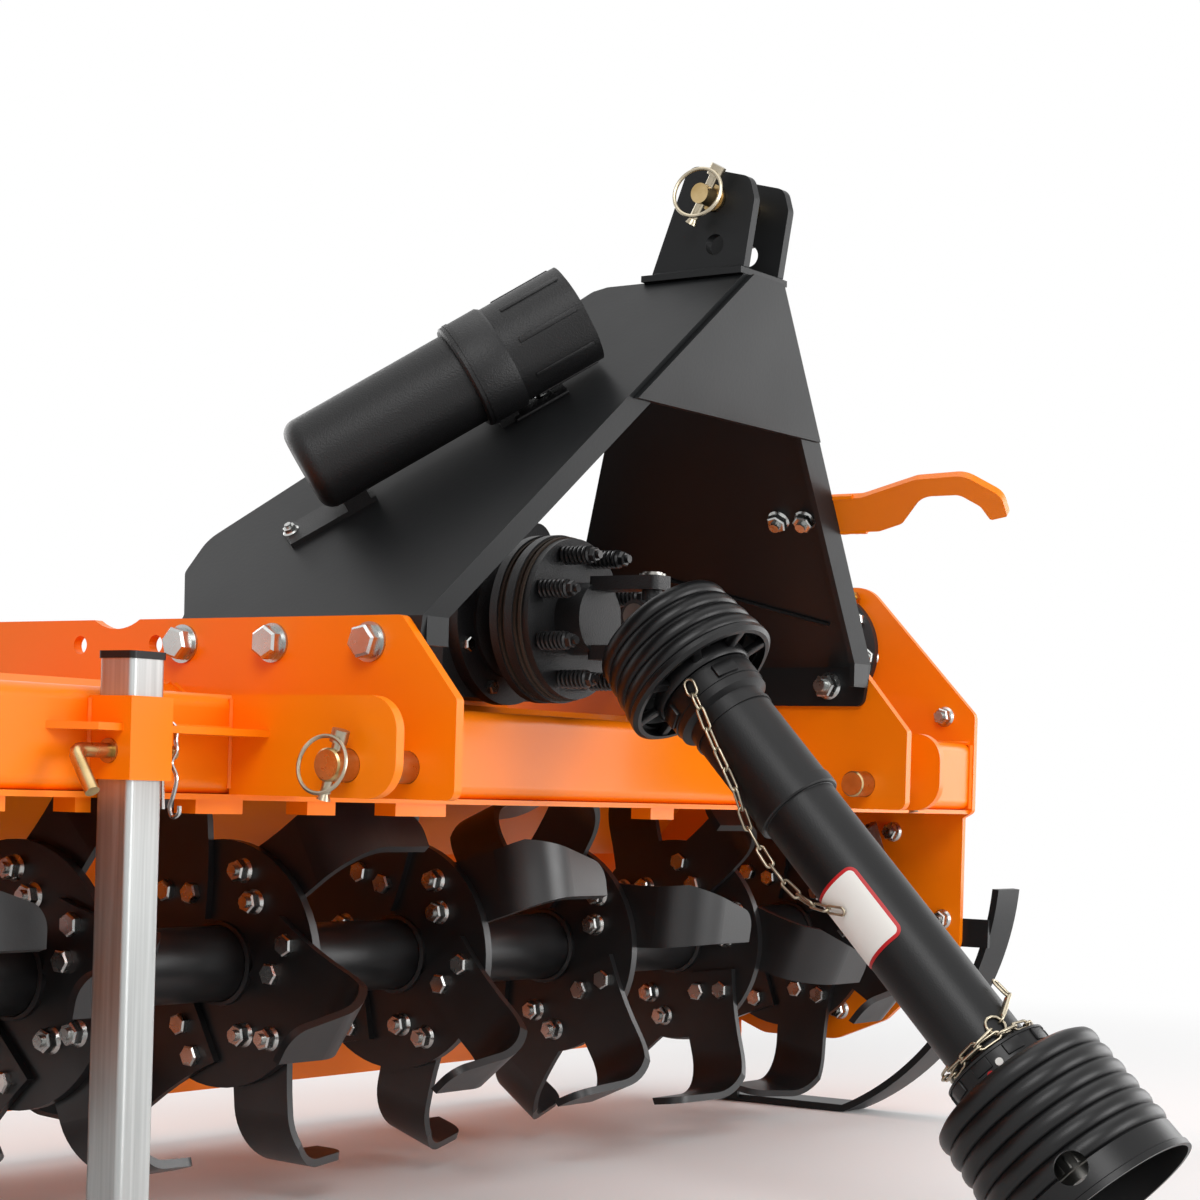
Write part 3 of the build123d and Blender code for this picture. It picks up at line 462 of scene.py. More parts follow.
hitchX = -50
railBolts = {"ys": (-326, -215, -107), "z": 537, "outX": 400, "inX": 384,
             "head": {"across": 26, "high": 10, "washerR": 17.5},
             "nut": {"across": 24, "high": 14, "flange": 15, "stud": 8}}
panel = {"footHalf": 390, "footZ": 560, "run": 354, "tall": 345}  # slope of the headstock's sides
panelBolts = {"spots": ((-347, 708), (-378, 707)), "wall": 6, "head": {"across": 19, "high": 7},
              "nut": {"across": 19, "high": 9, "flange": 12, "stud": 5}}


def makeRailBolts():
    bolts = bmesh.new()
    nuts = bmesh.new()
    z = railBolts["z"]
    for side in (-1, 1):
        for index, y in enumerate(railBolts["ys"]):
            outside, inside = hitchX + side * railBolts["outX"], hitchX + side * railBolts["inX"]
            hexBolt(bolts, (outside, y, z), (side, 0, 0), turn=11 + 17 * index, **railBolts["head"])
            hexNut(nuts, (inside, y, z), (-side, 0, 0), turn=23 * index, **railBolts["nut"])
    finishPiece(bolts, "railBolts", "zinc", "frame")
    finishPiece(nuts, "railNuts", "zinc", "frame")


def panelPoint(side, y, up, off=0.0):
    # Spot on a headstock panel's outer face, up its slope from the rail top, and the way it faces
    tall, run = panel["tall"], panel["run"]
    long = math.hypot(tall, run)
    foot = Vector((hitchX + side * panel["footHalf"], y, panel["footZ"]))
    slope = Vector((-side * run / long, 0, tall / long))
    out = Vector((side * tall / long, 0, run / long))
    return foot + slope * up + out * off, out


def makePanelBolts():
    bm = bmesh.new()
    for y, z in panelBolts["spots"]:
        up = (z - panel["footZ"]) / panel["tall"] * math.hypot(panel["tall"], panel["run"])
        inner, out = panelPoint(1, y, up, -panelBolts["wall"])
        hexNut(bm, inner, -out, turn=y, **panelBolts["nut"])
        outer, out = panelPoint(1, y, up)
        hexBolt(bm, outer, out, turn=y * 3, **panelBolts["head"])
    finishPiece(bm, "panelBolts", "zinc", "frame")


makeRailBolts()
makePanelBolts()


# Lynch pins with their rings, and what hangs on the stand's sleeve

lynch = {
    "pinR": 4.5, "half": 24, "headR": 7.5, "headFrom": 19, "end": 30, "footShare": 0.8,
    "ringR": 24, "wireR": 1.8, "ringOff": 13,
    # Each one's place, the hitch pin's way out, the way up the lynch pin, and its ring's tilt in degrees
    "pins": (((-546, -370, 430), (-1, 0, 0), (0, -0.3, 1), 12),
             ((446, -370, 430), (1, 0, 0), (0, 0.2, 1), 12),
             ((-102, -429, 979), (-1, 0, 0), (0, -0.5, 0.87), 15)),
}
standPin = {"x": -670, "y": -263.5, "z": 436, "r": 6, "sleeveHalf": 23.5, "reach": 38, "bend": 10,
            "fall": (-0.1, -0.62, -0.78), "tail": 42, "end": 26, "washerR": 10, "washerHigh": 2}


def smoothCurve(spots, steps):
    # Even curve through the spots
    points = [Vector(spot) for spot in spots]
    points = [2 * points[0] - points[1]] + points + [2 * points[-1] - points[-2]]
    path = []
    for a, b, c, d in zip(points, points[1:], points[2:], points[3:]):
        for k in range(steps):
            t = k / steps
            path.append(0.5 * (2 * b + (c - a) * t + (2 * a - 5 * b + 4 * c - d) * t * t
                               + (3 * b - a - 3 * c + d) * t ** 3))
    return path + [points[-2]]


def lynchPin(bm, at, axis, up, tilt):
    # Pin along up through the hitch pin's end, its spring ring swung over the end
    matrix = aimed(at, up)
    half, end, headR, share = lynch["half"], lynch["end"], lynch["headR"], lynch["footShare"]
    rod(bm, lynch["pinR"], -half, half, matrix, 16)
    rod(bm, headR, lynch["headFrom"], end, matrix, 20)
    rod(bm, headR * share, -end, -half, matrix, 16, lynch["pinR"] * share)
    over = Vector(axis).normalized()
    lean = over * math.cos(math.radians(tilt)) + Vector(up).normalized() * math.sin(math.radians(tilt))
    ring = aimed(Vector(at) + over * lynch["ringOff"], lean)
    ringBar(bm, lynch["wireR"], lynch["ringR"], ring, 40, 8)


def makeLynchPins():
    bm = bmesh.new()
    for pin in lynch["pins"]:
        lynchPin(bm, *pin)
    finishPiece(bm, "lynchPins", "chain", "frame")


springClip = {
    "off": 17, "wireR": 1.8, "steps": 6,
    # Spots of the wire: out along the pin, forward and up
    "wire": ((0, -2, -46), (0, -3, -20), (0, -2, 8), (0, -5, 18), (2, 0, 25), (4, 7, 20), (4, 7, 10),
             (3, 9, 2), (3, 4, -8), (3, 10, -20), (3, 7, -34), (3, 3, -44), (3, 6, -52), (3, 13, -50),
             (3, 14, -43)),
}


def makeStandPin():
    x, y, z, r = standPin["x"], standPin["y"], standPin["z"], standPin["r"]
    left = x - standPin["sleeveHalf"]
    right = x + standPin["sleeveHalf"]
    bend = standPin["bend"]
    fall = Vector(standPin["fall"])
    corner = Vector((left - standPin["reach"], y, z))
    elbow = [corner + Vector((1, 0, 0)) * bend * (1 - t) ** 2 + fall * bend * t ** 2
             for t in (0, 0.25, 0.5, 0.75, 1)]
    bm = bmesh.new()
    bentWire(bm, r, [(left + 2, y, z)] + elbow + [corner + fall * standPin["tail"]], 14)
    rod(bm, r, -2, standPin["end"], aimed((right, y, z), (1, 0, 0)), 16)
    for seat, way in ((left, -1), (right, 1)):
        rod(bm, standPin["washerR"], 0, standPin["washerHigh"], aimed((seat, y, z), (way, 0, 0)), 24)
    finishPiece(bm, "standPin", "gold", "frame")
    bm = bmesh.new()
    clipX = right + springClip["off"]
    spots = [(clipX + out, y - forward, z + up) for out, forward, up in springClip["wire"]]
    bentWire(bm, springClip["wireR"], smoothCurve(spots, springClip["steps"]), 8)
    finishPiece(bm, "springClip", "zinc", "frame")


makeLynchPins()
makeStandPin()
print("stage: hitch fasteners")


# Rotor: two bolts to a blade, and the flanges welded on

rotor = {"pitch": 270, "flanges": 7, "turn": 17, "blades": 6, "rake": 28, "lead": 26, "rootR": 62,
         "flangeHalf": 5, "bladeThick": 8, "tubeR": 37, "z": 235}
bladeBolts = {"up": 24, "aside": 17, "head": {"across": 19, "high": 8},
              "nut": {"across": 19, "high": 13, "flange": 12.5, "stud": 4}}
rotorBead = {"r": 4, "off": 1.5, "steps": 54, "ripple": 0.14}


def flangeX(flange):
    return (flange - (rotor["flanges"] - 1) / 2) * rotor["pitch"]


def makeBladeBolts():
    heads = bmesh.new()
    nuts = bmesh.new()
    rake = math.radians(rotor["rake"])
    along = Vector((0, -math.sin(rake), math.cos(rake)))
    across = Vector((0, math.cos(rake), math.sin(rake)))
    root = Vector((0, rotor["lead"], rotor["rootR"])) + along * bladeBolts["up"]
    aside = bladeBolts["aside"]
    for flange in range(rotor["flanges"]):
        middle = Vector((flangeX(flange), 0, rotor["z"]))
        for blade in range(rotor["blades"]):
            lefty = flange == 0 or (blade % 2 == 0 and flange != rotor["flanges"] - 1)
            side = 1 if lefty else -1
            turn = flange * rotor["turn"] + blade * 360 / rotor["blades"]
            spin = Matrix.Rotation(math.radians(turn), 4, "X")
            for offset in (-aside, aside):
                point = spin @ (root + across * offset) + middle
                seat = Vector((side * (rotor["flangeHalf"] + rotor["bladeThick"]), 0, 0))
                hexBolt(heads, point + seat, (side, 0, 0), turn=13 * blade + offset, **bladeBolts["head"])
                back = Vector((-side * rotor["flangeHalf"], 0, 0))
                hexNut(nuts, point + back, (-side, 0, 0), turn=29 * blade + offset, **bladeBolts["nut"])
    finishPiece(heads, "bladeBolts", "zinc", "rotor")
    finishPiece(nuts, "bladeNuts", "zinc", "rotor")


def makeRotorWelds():
    bm = bmesh.new()
    r = rotor["tubeR"] + rotorBead["off"]
    turns = [math.tau * k / rotorBead["steps"] for k in range(rotorBead["steps"])]
    for flange in range(rotor["flanges"]):
        for side in (-1, 1):
            x = flangeX(flange) + side * (rotor["flangeHalf"] + rotorBead["off"])
            circle = [(x, r * math.cos(a), rotor["z"] + r * math.sin(a)) for a in turns]
            bentWire(bm, rotorBead["r"], circle, 6, True, rotorBead["ripple"])
    finishPiece(bm, "rotorWelds", "blade", "rotor")


makeBladeBolts()
makeRotorWelds()
print("stage: rotor")


# Driveline frame: s runs down the shaft from the universal joint

drive = {"jointY": -347, "jointZ": 585, "drop": 46.3}
dropTurn = math.radians(drive["drop"])
shaftDown = Vector((0, -math.cos(dropTurn), -math.sin(dropTurn)))
shaftMatrix = aimed((hitchX, drive["jointY"], drive["jointZ"]), shaftDown)

cone = {"bellows": {"rFrom": 66, "rTo": 75.2, "sFrom": 15, "sTo": 82, "ribs": 4, "crest": 4.6}, "wall": 3.4,
        "rim": ((72, 82), (78.5, 82), (79.8, 83.5), (79.8, 88), (76, 91), (72, 91)),
        "hub": ((43, 82), (52, 82), (52, 92), (50, 95), (43, 95)),
        "spokes": {"count": 8, "turn": 10, "low": (50, -4.5, 82.5), "high": (73, 4.5, 90), "bevel": 1.2}}
bell = {"bellows": {"rFrom": 80.4, "rTo": 85.2, "sFrom": 582, "sTo": 688, "ribs": 6, "crest": 4.7},
        "neck": ((43, 556), (50, 556), (50, 574), (56, 575.5), (68, 577), (76, 579.5)),
        "skirt": ((87.6, 690), (88.2, 711), (89.8, 712), (89.8, 718), (86, 718), (84, 690)),
        "inside": ((77, 586), (43, 578)),
        "hole": {"r": 15, "turn": 160, "s": 688, "low": 60, "high": 110},
        "lugs": {"count": 9, "turn": 12, "low": (48, -9, 558), "high": (51.4, 9, 570), "bevel": 1.2},
        "lugRing": ((47, 555.2), (51.6, 555.2), (51.6, 557.6), (47, 557.6)),
        "dot": {"r": 3.6, "seatR": 50, "low": -2, "high": 2.2},
        "dots": (("lockButton", "label", 154, 570), ("lockMark", "redEdge", 168, 575))}


def shaftTurn(degrees):
    return shaftMatrix @ Matrix.Rotation(math.radians(degrees), 4, "Z")


def shaftOut(degrees, r, s):
    # Matrix whose Z points out from the driveline
    return shaftTurn(degrees) @ Matrix.Translation((r, 0, s)) @ Matrix.Rotation(math.pi / 2, 4, "Y")


def blocksRound(bm, count, turn, low, high, bevel):
    # The same block all round the driveline
    for index in range(count):
        slab(bm, low, high, bevel, shaftTurn(turn + 360 / count * index))


def bellowsRibs(rFrom, rTo, sFrom, sTo, ribs, crest):
    # Full round crests with a narrow groove between
    outside = []
    for index in range(ribs):
        for part, rise in ((0.0, 0), (0.1, 0.55), (0.28, 0.9), (0.5, 1), (0.72, 0.9), (0.9, 0.55)):
            share = (index + part) / ribs
            outside.append((rFrom + (rTo - rFrom) * share + crest * rise, sFrom + (sTo - sFrom) * share))
    return outside + [(rTo, sTo)]


def pierced(bm, cutter):
    # Cuts one shape out of another
    holders = []
    for shape in (bm, cutter):
        mesh = bpy.data.meshes.new("cut")
        bmesh.ops.recalc_face_normals(shape, faces=shape.faces)
        shape.to_mesh(mesh)
        shape.free()
        holder = bpy.data.objects.new("cut", mesh)
        bpy.context.scene.collection.objects.link(holder)
        holders.append(holder)
    cut = holders[0].modifiers.new("cut", "BOOLEAN")
    cut.operation = "DIFFERENCE"
    cut.solver = "EXACT"
    cut.object = holders[1]
    done = holders[0].evaluated_get(bpy.context.evaluated_depsgraph_get()).to_mesh()
    result = bmesh.new()
    result.from_mesh(done)
    for holder in holders:
        mesh = holder.data
        bpy.data.objects.remove(holder)
        bpy.data.meshes.remove(mesh)
    return result


def makeConeGuard():
    bm = bmesh.new()
    ribs = bellowsRibs(**cone["bellows"])
    inside = [(r - cone["wall"] - cone["bellows"]["crest"] * 0.6, s) for r, s in reversed(ribs[::3])]
    lathe(bm, ribs + inside, shaftMatrix, 72)
    lathe(bm, cone["rim"], shaftMatrix, 72)
    lathe(bm, cone["hub"], shaftMatrix, 56)
    blocksRound(bm, **cone["spokes"])
    piece = finishPiece(bm, "coneGuard", "bellows", "driveline")
    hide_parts("guard_cone")


def makeBellGuard():
    bm = bmesh.new()
    ribs = bellowsRibs(**bell["bellows"])
    lathe(bm, [*bell["neck"], *ribs, *bell["skirt"], *bell["inside"]], shaftMatrix, 96)
    cutter = bmesh.new()
    hole, dot = bell["hole"], bell["dot"]
    rod(cutter, hole["r"], hole["low"], hole["high"], shaftOut(hole["turn"], 0, hole["s"]), 36)
    piece = finishPiece(pierced(bm, cutter), "bellGuard", "bellows", "driveline")
    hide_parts("guard_bell")
    lugs = bmesh.new()
    blocksRound(lugs, **bell["lugs"])
    lathe(lugs, bell["lugRing"], shaftMatrix, 56)
    finishPiece(lugs, "neckLugs", "guard", "driveline")
    for name, finish, turn, s in bell["dots"]:
        bm = bmesh.new()
        rod(bm, dot["r"], dot["low"], dot["high"], shaftOut(turn, dot["seatR"], s), 16)
        finishPiece(bm, name, finish, "driveline")


makeConeGuard()
makeBellGuard()

shaftRings = {"collar": ((46, 98), (49.2, 99), (49.2, 117), (46, 118)),
              "lugs": {"count": 4, "turn": 35, "low": (47, -12, 101), "high": (51.5, 12, 115), "bevel": 1.4},
              "lip": ((40, 141), (42.4, 141), (42.4, 144.5), (40, 144.5)),
              "end": ((37, 240), (42.6, 240), (42.6, 251), (41, 252.5), (37, 252.5))}
jointCaps = {"clutchOff": 40, "clutchR": 13, "clutchHigh": 3, "ringR": 10, "ringHigh": 4.5,
             "shaftOff": 30, "shaftR": 12, "shaftHigh": 1.8}
endLock = {"splines": {"count": 6, "turn": 0, "low": (15.2, -2.6, 632), "high": (18, 2.6, 689), "bevel": 0.5},
           "collar": ((30, 660), (34, 661), (34, 680), (30, 681)),
           "grips": {"count": 24, "turn": 0, "low": (33.4, -1.4, 663), "high": (35, 1.4, 678), "bevel": 0.4}}


def makeShaftRings():
    bm = bmesh.new()
    lathe(bm, shaftRings["collar"], shaftMatrix, 56)
    blocksRound(bm, **shaftRings["lugs"])
    lathe(bm, shaftRings["lip"], shaftMatrix, 56)
    lathe(bm, shaftRings["end"], shaftMatrix, 56)
    finishPiece(bm, "shaftRings", "guard", "driveline")


def makeJointCaps():
    x, y, z = hitchX, drive["jointY"], drive["jointZ"]
    clutchCaps = bmesh.new()
    for side in (-1, 1):
        at = aimed((x, y, z + side * jointCaps["clutchOff"]), (0, 0, side))
        rod(clutchCaps, jointCaps["clutchR"], 0, jointCaps["clutchHigh"], at, 28)
        rod(clutchCaps, jointCaps["ringR"], jointCaps["clutchHigh"], jointCaps["ringHigh"], at, 24)
    finishPiece(clutchCaps, "jointCapsClutch", "steel", "frame")
    shaftCaps = bmesh.new()
    for side in (-1, 1):
        at = aimed((x + side * jointCaps["shaftOff"], y, z), (side, 0, 0))
        rod(shaftCaps, jointCaps["shaftR"], 0, jointCaps["shaftHigh"], at, 28)
    finishPiece(shaftCaps, "jointCapsShaft", "steel", "driveline")


def makeEndLock():
    # The splines in the bore, and the collar that is pulled back to let go
    bm = bmesh.new()
    blocksRound(bm, **endLock["splines"])
    lathe(bm, endLock["collar"], shaftMatrix, 48)
    blocksRound(bm, **endLock["grips"])
    finishPiece(bm, "endLock", "steel", "driveline")


makeShaftRings()
makeJointCaps()
makeEndLock()


# Guard chains: each spot is (distance, turn, radius) about the driveline

chains = {
    "link": (26, 10), "wireR": 1.4, "slack": 0.5, "most": 40, "steps": 16,
    "cone": ((100, 167, 53), (128, 175, 52), (163, 190, 48), (208, 208, 47), (235, 240, 49), (283, 246, 54),
             (325, 240, 50), (352, 217, 43.2), (372, 190, 43.2)),
    "coneStart": ((20, 13), (20, 13)),
    "bell": ((500, 84, 45), (527, 88, 45), (543, 150, 45.2), (545, 175, 45.2), (540, 245, 45.2),
             (543, 330, 45.2), (547, 420, 45.2), (548, 500, 45.2), (548, 560, 45.2), (548, 630, 45.2)),
    "bellStart": ((24, 13), (38, 9), (22, 22)),
    "plated": 30, "plateLow": (-15, -4.2, -2.2), "plateHigh": (12, 4.2, 2.2),  # on a link longer than this
}


def loop(long, wide, wireR):
    # Centre line of a link: two half rounds and the straights between
    reach = long / 2 - wide / 2
    r = wide / 2 - wireR
    turns = [math.pi * (k / 6 - 0.5) for k in range(7)]
    right = [(reach + r * math.cos(a), r * math.sin(a), 0) for a in turns]
    return right + [(-x, -y, z) for x, y, z in right]


def makeChain(bm, spots, startLinks):
    turned = [(math.radians(turn), r, s) for s, turn, r in spots]
    path = smoothCurve([(r * math.cos(a), r * math.sin(a), s) for a, r, s in turned], chains["steps"])
    wireR = chains["wireR"]
    total = sum((b - a).length for a, b in zip(path, path[1:]))

    def at(distance):
        for a, b in zip(path, path[1:]):
            piece = (b - a).length
            if distance <= piece:
                return a.lerp(b, distance / piece)
            distance -= piece
        return path[-1]

    start = 0.0
    for index, (long, wide) in enumerate([*startLinks] + [chains["link"]] * chains["most"]):
        end = start + long - 4 * wireR + chains["slack"]
        if end > total:
            break
        ahead = (at(end) - at(start)).normalized()
        middle = (at(end) + at(start)) / 2
        across = ahead.cross(Vector((middle.x, middle.y, 0))).normalized()
        normal = across if index % 2 else across.cross(ahead)
        place = Matrix((ahead, normal.cross(ahead), normal)).transposed().to_4x4()
        place = shaftMatrix @ Matrix.Translation(middle) @ place
        if long > chains["plated"]:
            slab(bm, chains["plateLow"], chains["plateHigh"], 1.6, place)
        bentWire(bm, wireR, [place @ Vector(spot) for spot in loop(long, wide, wireR)], 8, True)
        start = end


def makeChains():
    bm = bmesh.new()
    makeChain(bm, chains["cone"], chains["coneStart"])
    makeChain(bm, chains["bell"], chains["bellStart"])
    piece = finishPiece(bm, "chainLinks", "chain", "driveline", smooth=60)
    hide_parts("guard_chains")


# Blank label with a red edge, wrapped on the near side of the shaft tube

label = {"from": 338, "to": 420, "turnFrom": 146, "turnTo": 246, "r": 38.3, "corner": 9, "edge": 3.5,
         "lift": 0.25, "thick": 0.2, "columns": 40}


def labelSheet(name, finish, r, inset):
    shape = bmesh.new()
    middleS = (label["from"] + label["to"]) / 2
    halfS = (label["to"] - label["from"]) / 2 - inset
    middleTurn = math.radians((label["turnFrom"] + label["turnTo"]) / 2)
    halfArc = label["r"] * math.radians(label["turnTo"] - label["turnFrom"]) / 2 - inset
    corner = label["corner"] - inset
    columns = []
    for k in range(label["columns"] + 1):
        u = -halfArc * math.cos(math.pi * k / label["columns"])
        over = max(0.0, abs(u) - (halfArc - corner))
        cut = corner - math.sqrt(max(0.0, corner ** 2 - over ** 2))
        turn = middleTurn + u / label["r"]
        x, y = r * math.cos(turn), r * math.sin(turn)
        columns.append([shape.verts.new((x, y, middleS + way * (halfS - cut))) for way in (-1, 1)])
    for one, two in zip(columns, columns[1:]):
        shape.faces.new((one[0], two[0], two[1], one[1]))
    bmesh.ops.recalc_face_normals(shape, faces=shape.faces)
    bmesh.ops.solidify(shape, geom=shape.faces[:], thickness=-label["thick"])
    bm = bmesh.new()
    addShape(bm, shape, shaftMatrix)
    finishPiece(bm, name, finish, "driveline")


makeChains()
labelSheet("labelEdge", "redEdge", label["r"], 0)
labelSheet("labelFace", "label", label["r"] + label["lift"], label["edge"])
print("stage: driveline")


# Slip clutch: springs over the bolts, and linings between the discs

clutch = {"z": 585, "bolts": 8, "boltR": 66, "seat": -256, "coils": 6, "long": 31, "wireR": 1.9, "coilR": 7.6,
          "coilSteps": 108, "rodR": 4, "rodLow": -40, "rodHigh": 46, "headBack": 44,
          "head": {"across": 13, "high": 6}, "nut": {"across": 13, "high": 8, "flange": 9},
          "liningYs": (-221, -227, -239, -245), "lining": ((70, 0), (82, 0), (82, 3), (70, 3))}


def makeClutch():
    coils = bmesh.new()
    bolts = bmesh.new()
    long = clutch["long"]
    for index in range(clutch["bolts"]):
        turn = math.tau * (index + 0.5) / clutch["bolts"]
        at = Vector((hitchX + clutch["boltR"] * math.cos(turn), clutch["seat"],
                     clutch["z"] + clutch["boltR"] * math.sin(turn)))
        matrix = aimed(at, (0, -1, 0))
        ringBar(coils, clutch["wireR"], clutch["coilR"], matrix @ Matrix.Translation((0, 0, 2)),
                clutch["coilSteps"], 8, math.tau * clutch["coils"], long)
        rod(bolts, clutch["rodR"], clutch["rodLow"], clutch["rodHigh"], matrix, 12)
        hexNut(bolts, matrix @ Vector((0, 0, long + 3)), (0, -1, 0), turn=20 * index, **clutch["nut"])
        back = at + Vector((0, clutch["headBack"], 0))
        hexBolt(bolts, back, (0, 1, 0), turn=10 * index, **clutch["head"])
    piece = finishPiece(coils, "clutchCoils", "blade", "frame")
    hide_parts("clutch_springs")
    finishPiece(bolts, "clutchBolts", "blade", "frame")
    bm = bmesh.new()
    for y in clutch["liningYs"]:
        lathe(bm, clutch["lining"], aimed((hitchX, y, clutch["z"]), (0, -1, 0)), 64)
    finishPiece(bm, "clutchLinings", "lining", "frame")


makeClutch()


# Gearbox: input flange, covers, plugs, and the cross housing's flanges

gearboxTrim = {
    # Each cover's place, the way it faces, its outline of (radius, height) and its steps
    "covers": (
        ((-50, -174, 585), (0, -1, 0), ((36, -4), (60, -4), (60, 4), (52, 9), (36, 9)), 56),
        ((-50, 75, 600), (0, 1, 0), ((0, -2), (62, -2), (62, 7), (58, 9), (30, 9), (26, 13), (0, 13)), 56),
        ((-140, -45, 600), (-1, 0, 0), ((0, -2), (54, -2), (54, 6), (50, 8), (0, 8)), 56),
        ((62, -22, 606), (1, 0, 0), ((49, 0), (66, 0), (66, 9), (60, 12), (49, 12)), 56),
        ((848, -22, 606), (-1, 0, 0), ((49, 0), (80, 0), (80, 9), (60, 12), (49, 12)), 64)),
    # Each ring's place, the way it faces, its radius, count, width across flats, height and first turn
    "boltRings": (
        ((-50, -174, 585), (0, -1, 0), 75, 8, 13, 6, 0.39),
        ((-50, 83, 600), (0, 1, 0), 50, 6, 13, 6, 0),
        ((-147, -45, 600), (-1, 0, 0), 42, 6, 13, 6, 0.3),
        ((839, -22, 606), (-1, 0, 0), 69, 6, 17, 9, 0.12)),
    "footXs": (-150, 50), "footYs": (-82, 104), "footZ": 505,
    "footBolt": {"across": 19, "high": 9, "washerR": 13},
    # Each plug's place, the way it faces, and its steps: radius, ends, sides and a taper's end radius
    "plugs": (
        ((-50, -30, 690), (0, 0, 1), ((13, -2, 3, 6), (8, 3, 15, 20), (10, 15, 22, 20, 7))),
        ((-50, 75, 530), (0, 1, 0), ((11, 0, 6, 6),)),
        ((842, -68, 676), (-1, 0, 0), ((9, 0, 8, 6), (6.5, 8, 20, 20)))),
}


def boltRing(bm, centre, axis, r, count, across, high, first):
    matrix = aimed(centre, axis)
    for index in range(count):
        turn = math.tau * index / count + first
        at = matrix @ Vector((r * math.cos(turn), r * math.sin(turn), 0))
        hexBolt(bm, at, axis, across, high, turn=31 * index)


def makeGearboxCovers():
    bm = bmesh.new()
    for centre, axis, outline, steps in gearboxTrim["covers"]:
        lathe(bm, outline, aimed(centre, axis), steps)
    finishPiece(bm, "gearboxCovers", "cast", "frame")
    bolts = bmesh.new()
    for ring in gearboxTrim["boltRings"]:
        boltRing(bolts, *ring)
    for x in gearboxTrim["footXs"]:
        for y in gearboxTrim["footYs"]:
            hexBolt(bolts, (x, y, gearboxTrim["footZ"]), (0, 0, 1), turn=x + y, **gearboxTrim["footBolt"])
    finishPiece(bolts, "gearboxBolts", "zinc", "frame")
    bm = bmesh.new()
    for at, axis, parts in gearboxTrim["plugs"]:
        for r, low, high, *rest in parts:
            rod(bm, r, low, high, aimed(at, axis), *rest)
    finishPiece(bm, "brassPlugs", "brass", "frame")


makeGearboxCovers()
print("stage: clutch and gearbox")


# Side plates: nuts inside, heads outside, the gear case's flange and the bearing's cap

sideBolts = {"inner": 848, "outer": 856, "head": {"across": 19, "high": 8, "washerR": 12},
             "nut": {"across": 19, "high": 13, "flange": 13, "stud": 5},
             "spots": ((-58, 666), (-90, 599), (-202, 522), (-131, 372), (-206, 262), (-60, 136), (5, 118),
                       (118, 150), (150, 440), (226, 330), (-212, 428))}
case = {"topY": -22, "topZ": 606, "topR": 76, "lowZ": 235, "lowR": 96, "flange": 12, "thick": 9, "steps": 16,
        "hides": (-10, 92, 130, 690),  # no heads under it: middle and half width in y, ends in z
        "boltOff": 5.5, "onCurves": (1, 5, 8, 11, 15, 18, 22, 25, 28, 32), "onSides": (0.25, 0.5, 0.75),
        "head": {"across": 12, "high": 6}}
bearing = {"x": -890, "z": 235, "cap": ((0, -1), (40, -1), (40, 3), (35, 7), (0, 7)),
           "rim": ((62, -34), (78, -34), (78, -25), (62, -22)),
           "boltRings": (((-890, 0, 235), (-1, 0, 0), 51, 4, 17, 8, 0.5),
                         ((-865, 0, 235), (-1, 0, 0), 70, 6, 13, 7, 0))}


def caseOutline(off):
    # Two half rounds of different size, the lower one's middle at 0, 0
    long = Vector((0, case["topY"], case["topZ"] - case["lowZ"])).length
    topR, lowR = case["topR"] + off, case["lowR"] + off
    shares = [k / case["steps"] for k in range(case["steps"] + 1)]
    spots = [(topR * math.cos(math.pi * t), long + topR * math.sin(math.pi * t)) for t in shares]
    return spots + [(lowR * math.cos(math.pi * (1 + t)), lowR * math.sin(math.pi * (1 + t))) for t in shares]


def makeSideBolts():
    nuts = bmesh.new()
    heads = bmesh.new()
    middle, half, low, high = case["hides"]
    for side in (-1, 1):
        for index, (y, z) in enumerate(sideBolts["spots"]):
            inside, outside = side * sideBolts["inner"], side * sideBolts["outer"]
            hexNut(nuts, (inside, y, z), (-side, 0, 0), turn=index * 21, **sideBolts["nut"])
            hidden = side == 1 and abs(y - middle) < half and low < z < high
            if not hidden:
                hexBolt(heads, (outside, y, z), (side, 0, 0), turn=index * 13, **sideBolts["head"])
    finishPiece(nuts, "sideNuts", "zinc", "frame")
    finishPiece(heads, "sideBoltHeads", "zinc", "frame")


def makeCaseFlange():
    up = Vector((0, case["topY"], case["topZ"] - case["lowZ"])).normalized()
    over = up.cross(Vector((1, 0, 0)))
    turn = Matrix((over, up, over.cross(up))).transposed().to_4x4()
    place = Matrix.Translation((sideBolts["outer"], 0, case["lowZ"])) @ turn
    outward = 1 if over.cross(up).x > 0 else -1
    shape = bmesh.new()
    face = shape.faces.new([shape.verts.new((u, v, 0)) for u, v in caseOutline(case["flange"])])
    grown = bmesh.ops.extrude_face_region(shape, geom=[face])
    bmesh.ops.translate(shape, verts=[g for g in grown["geom"] if isinstance(g, bmesh.types.BMVert)],
                        vec=(0, 0, outward * case["thick"]))
    bm = bmesh.new()
    addShape(bm, shape, place)
    finishPiece(bm, "caseFlange", "orange", "frame")
    bolts = bmesh.new()
    spots = caseOutline(case["boltOff"])
    seats = [spots[k] for k in case["onCurves"]]
    steps = case["steps"]
    for low, high in ((spots[-1], spots[0]), (spots[steps], spots[steps + 1])):
        seats += [(low[0] + (high[0] - low[0]) * t, low[1] + (high[1] - low[1]) * t) for t in case["onSides"]]
    for index, (u, v) in enumerate(seats):
        at = place @ Vector((u, v, outward * case["thick"]))
        hexBolt(bolts, at, (1, 0, 0), turn=index * 17, **case["head"])
    finishPiece(bolts, "caseBolts", "zinc", "frame")


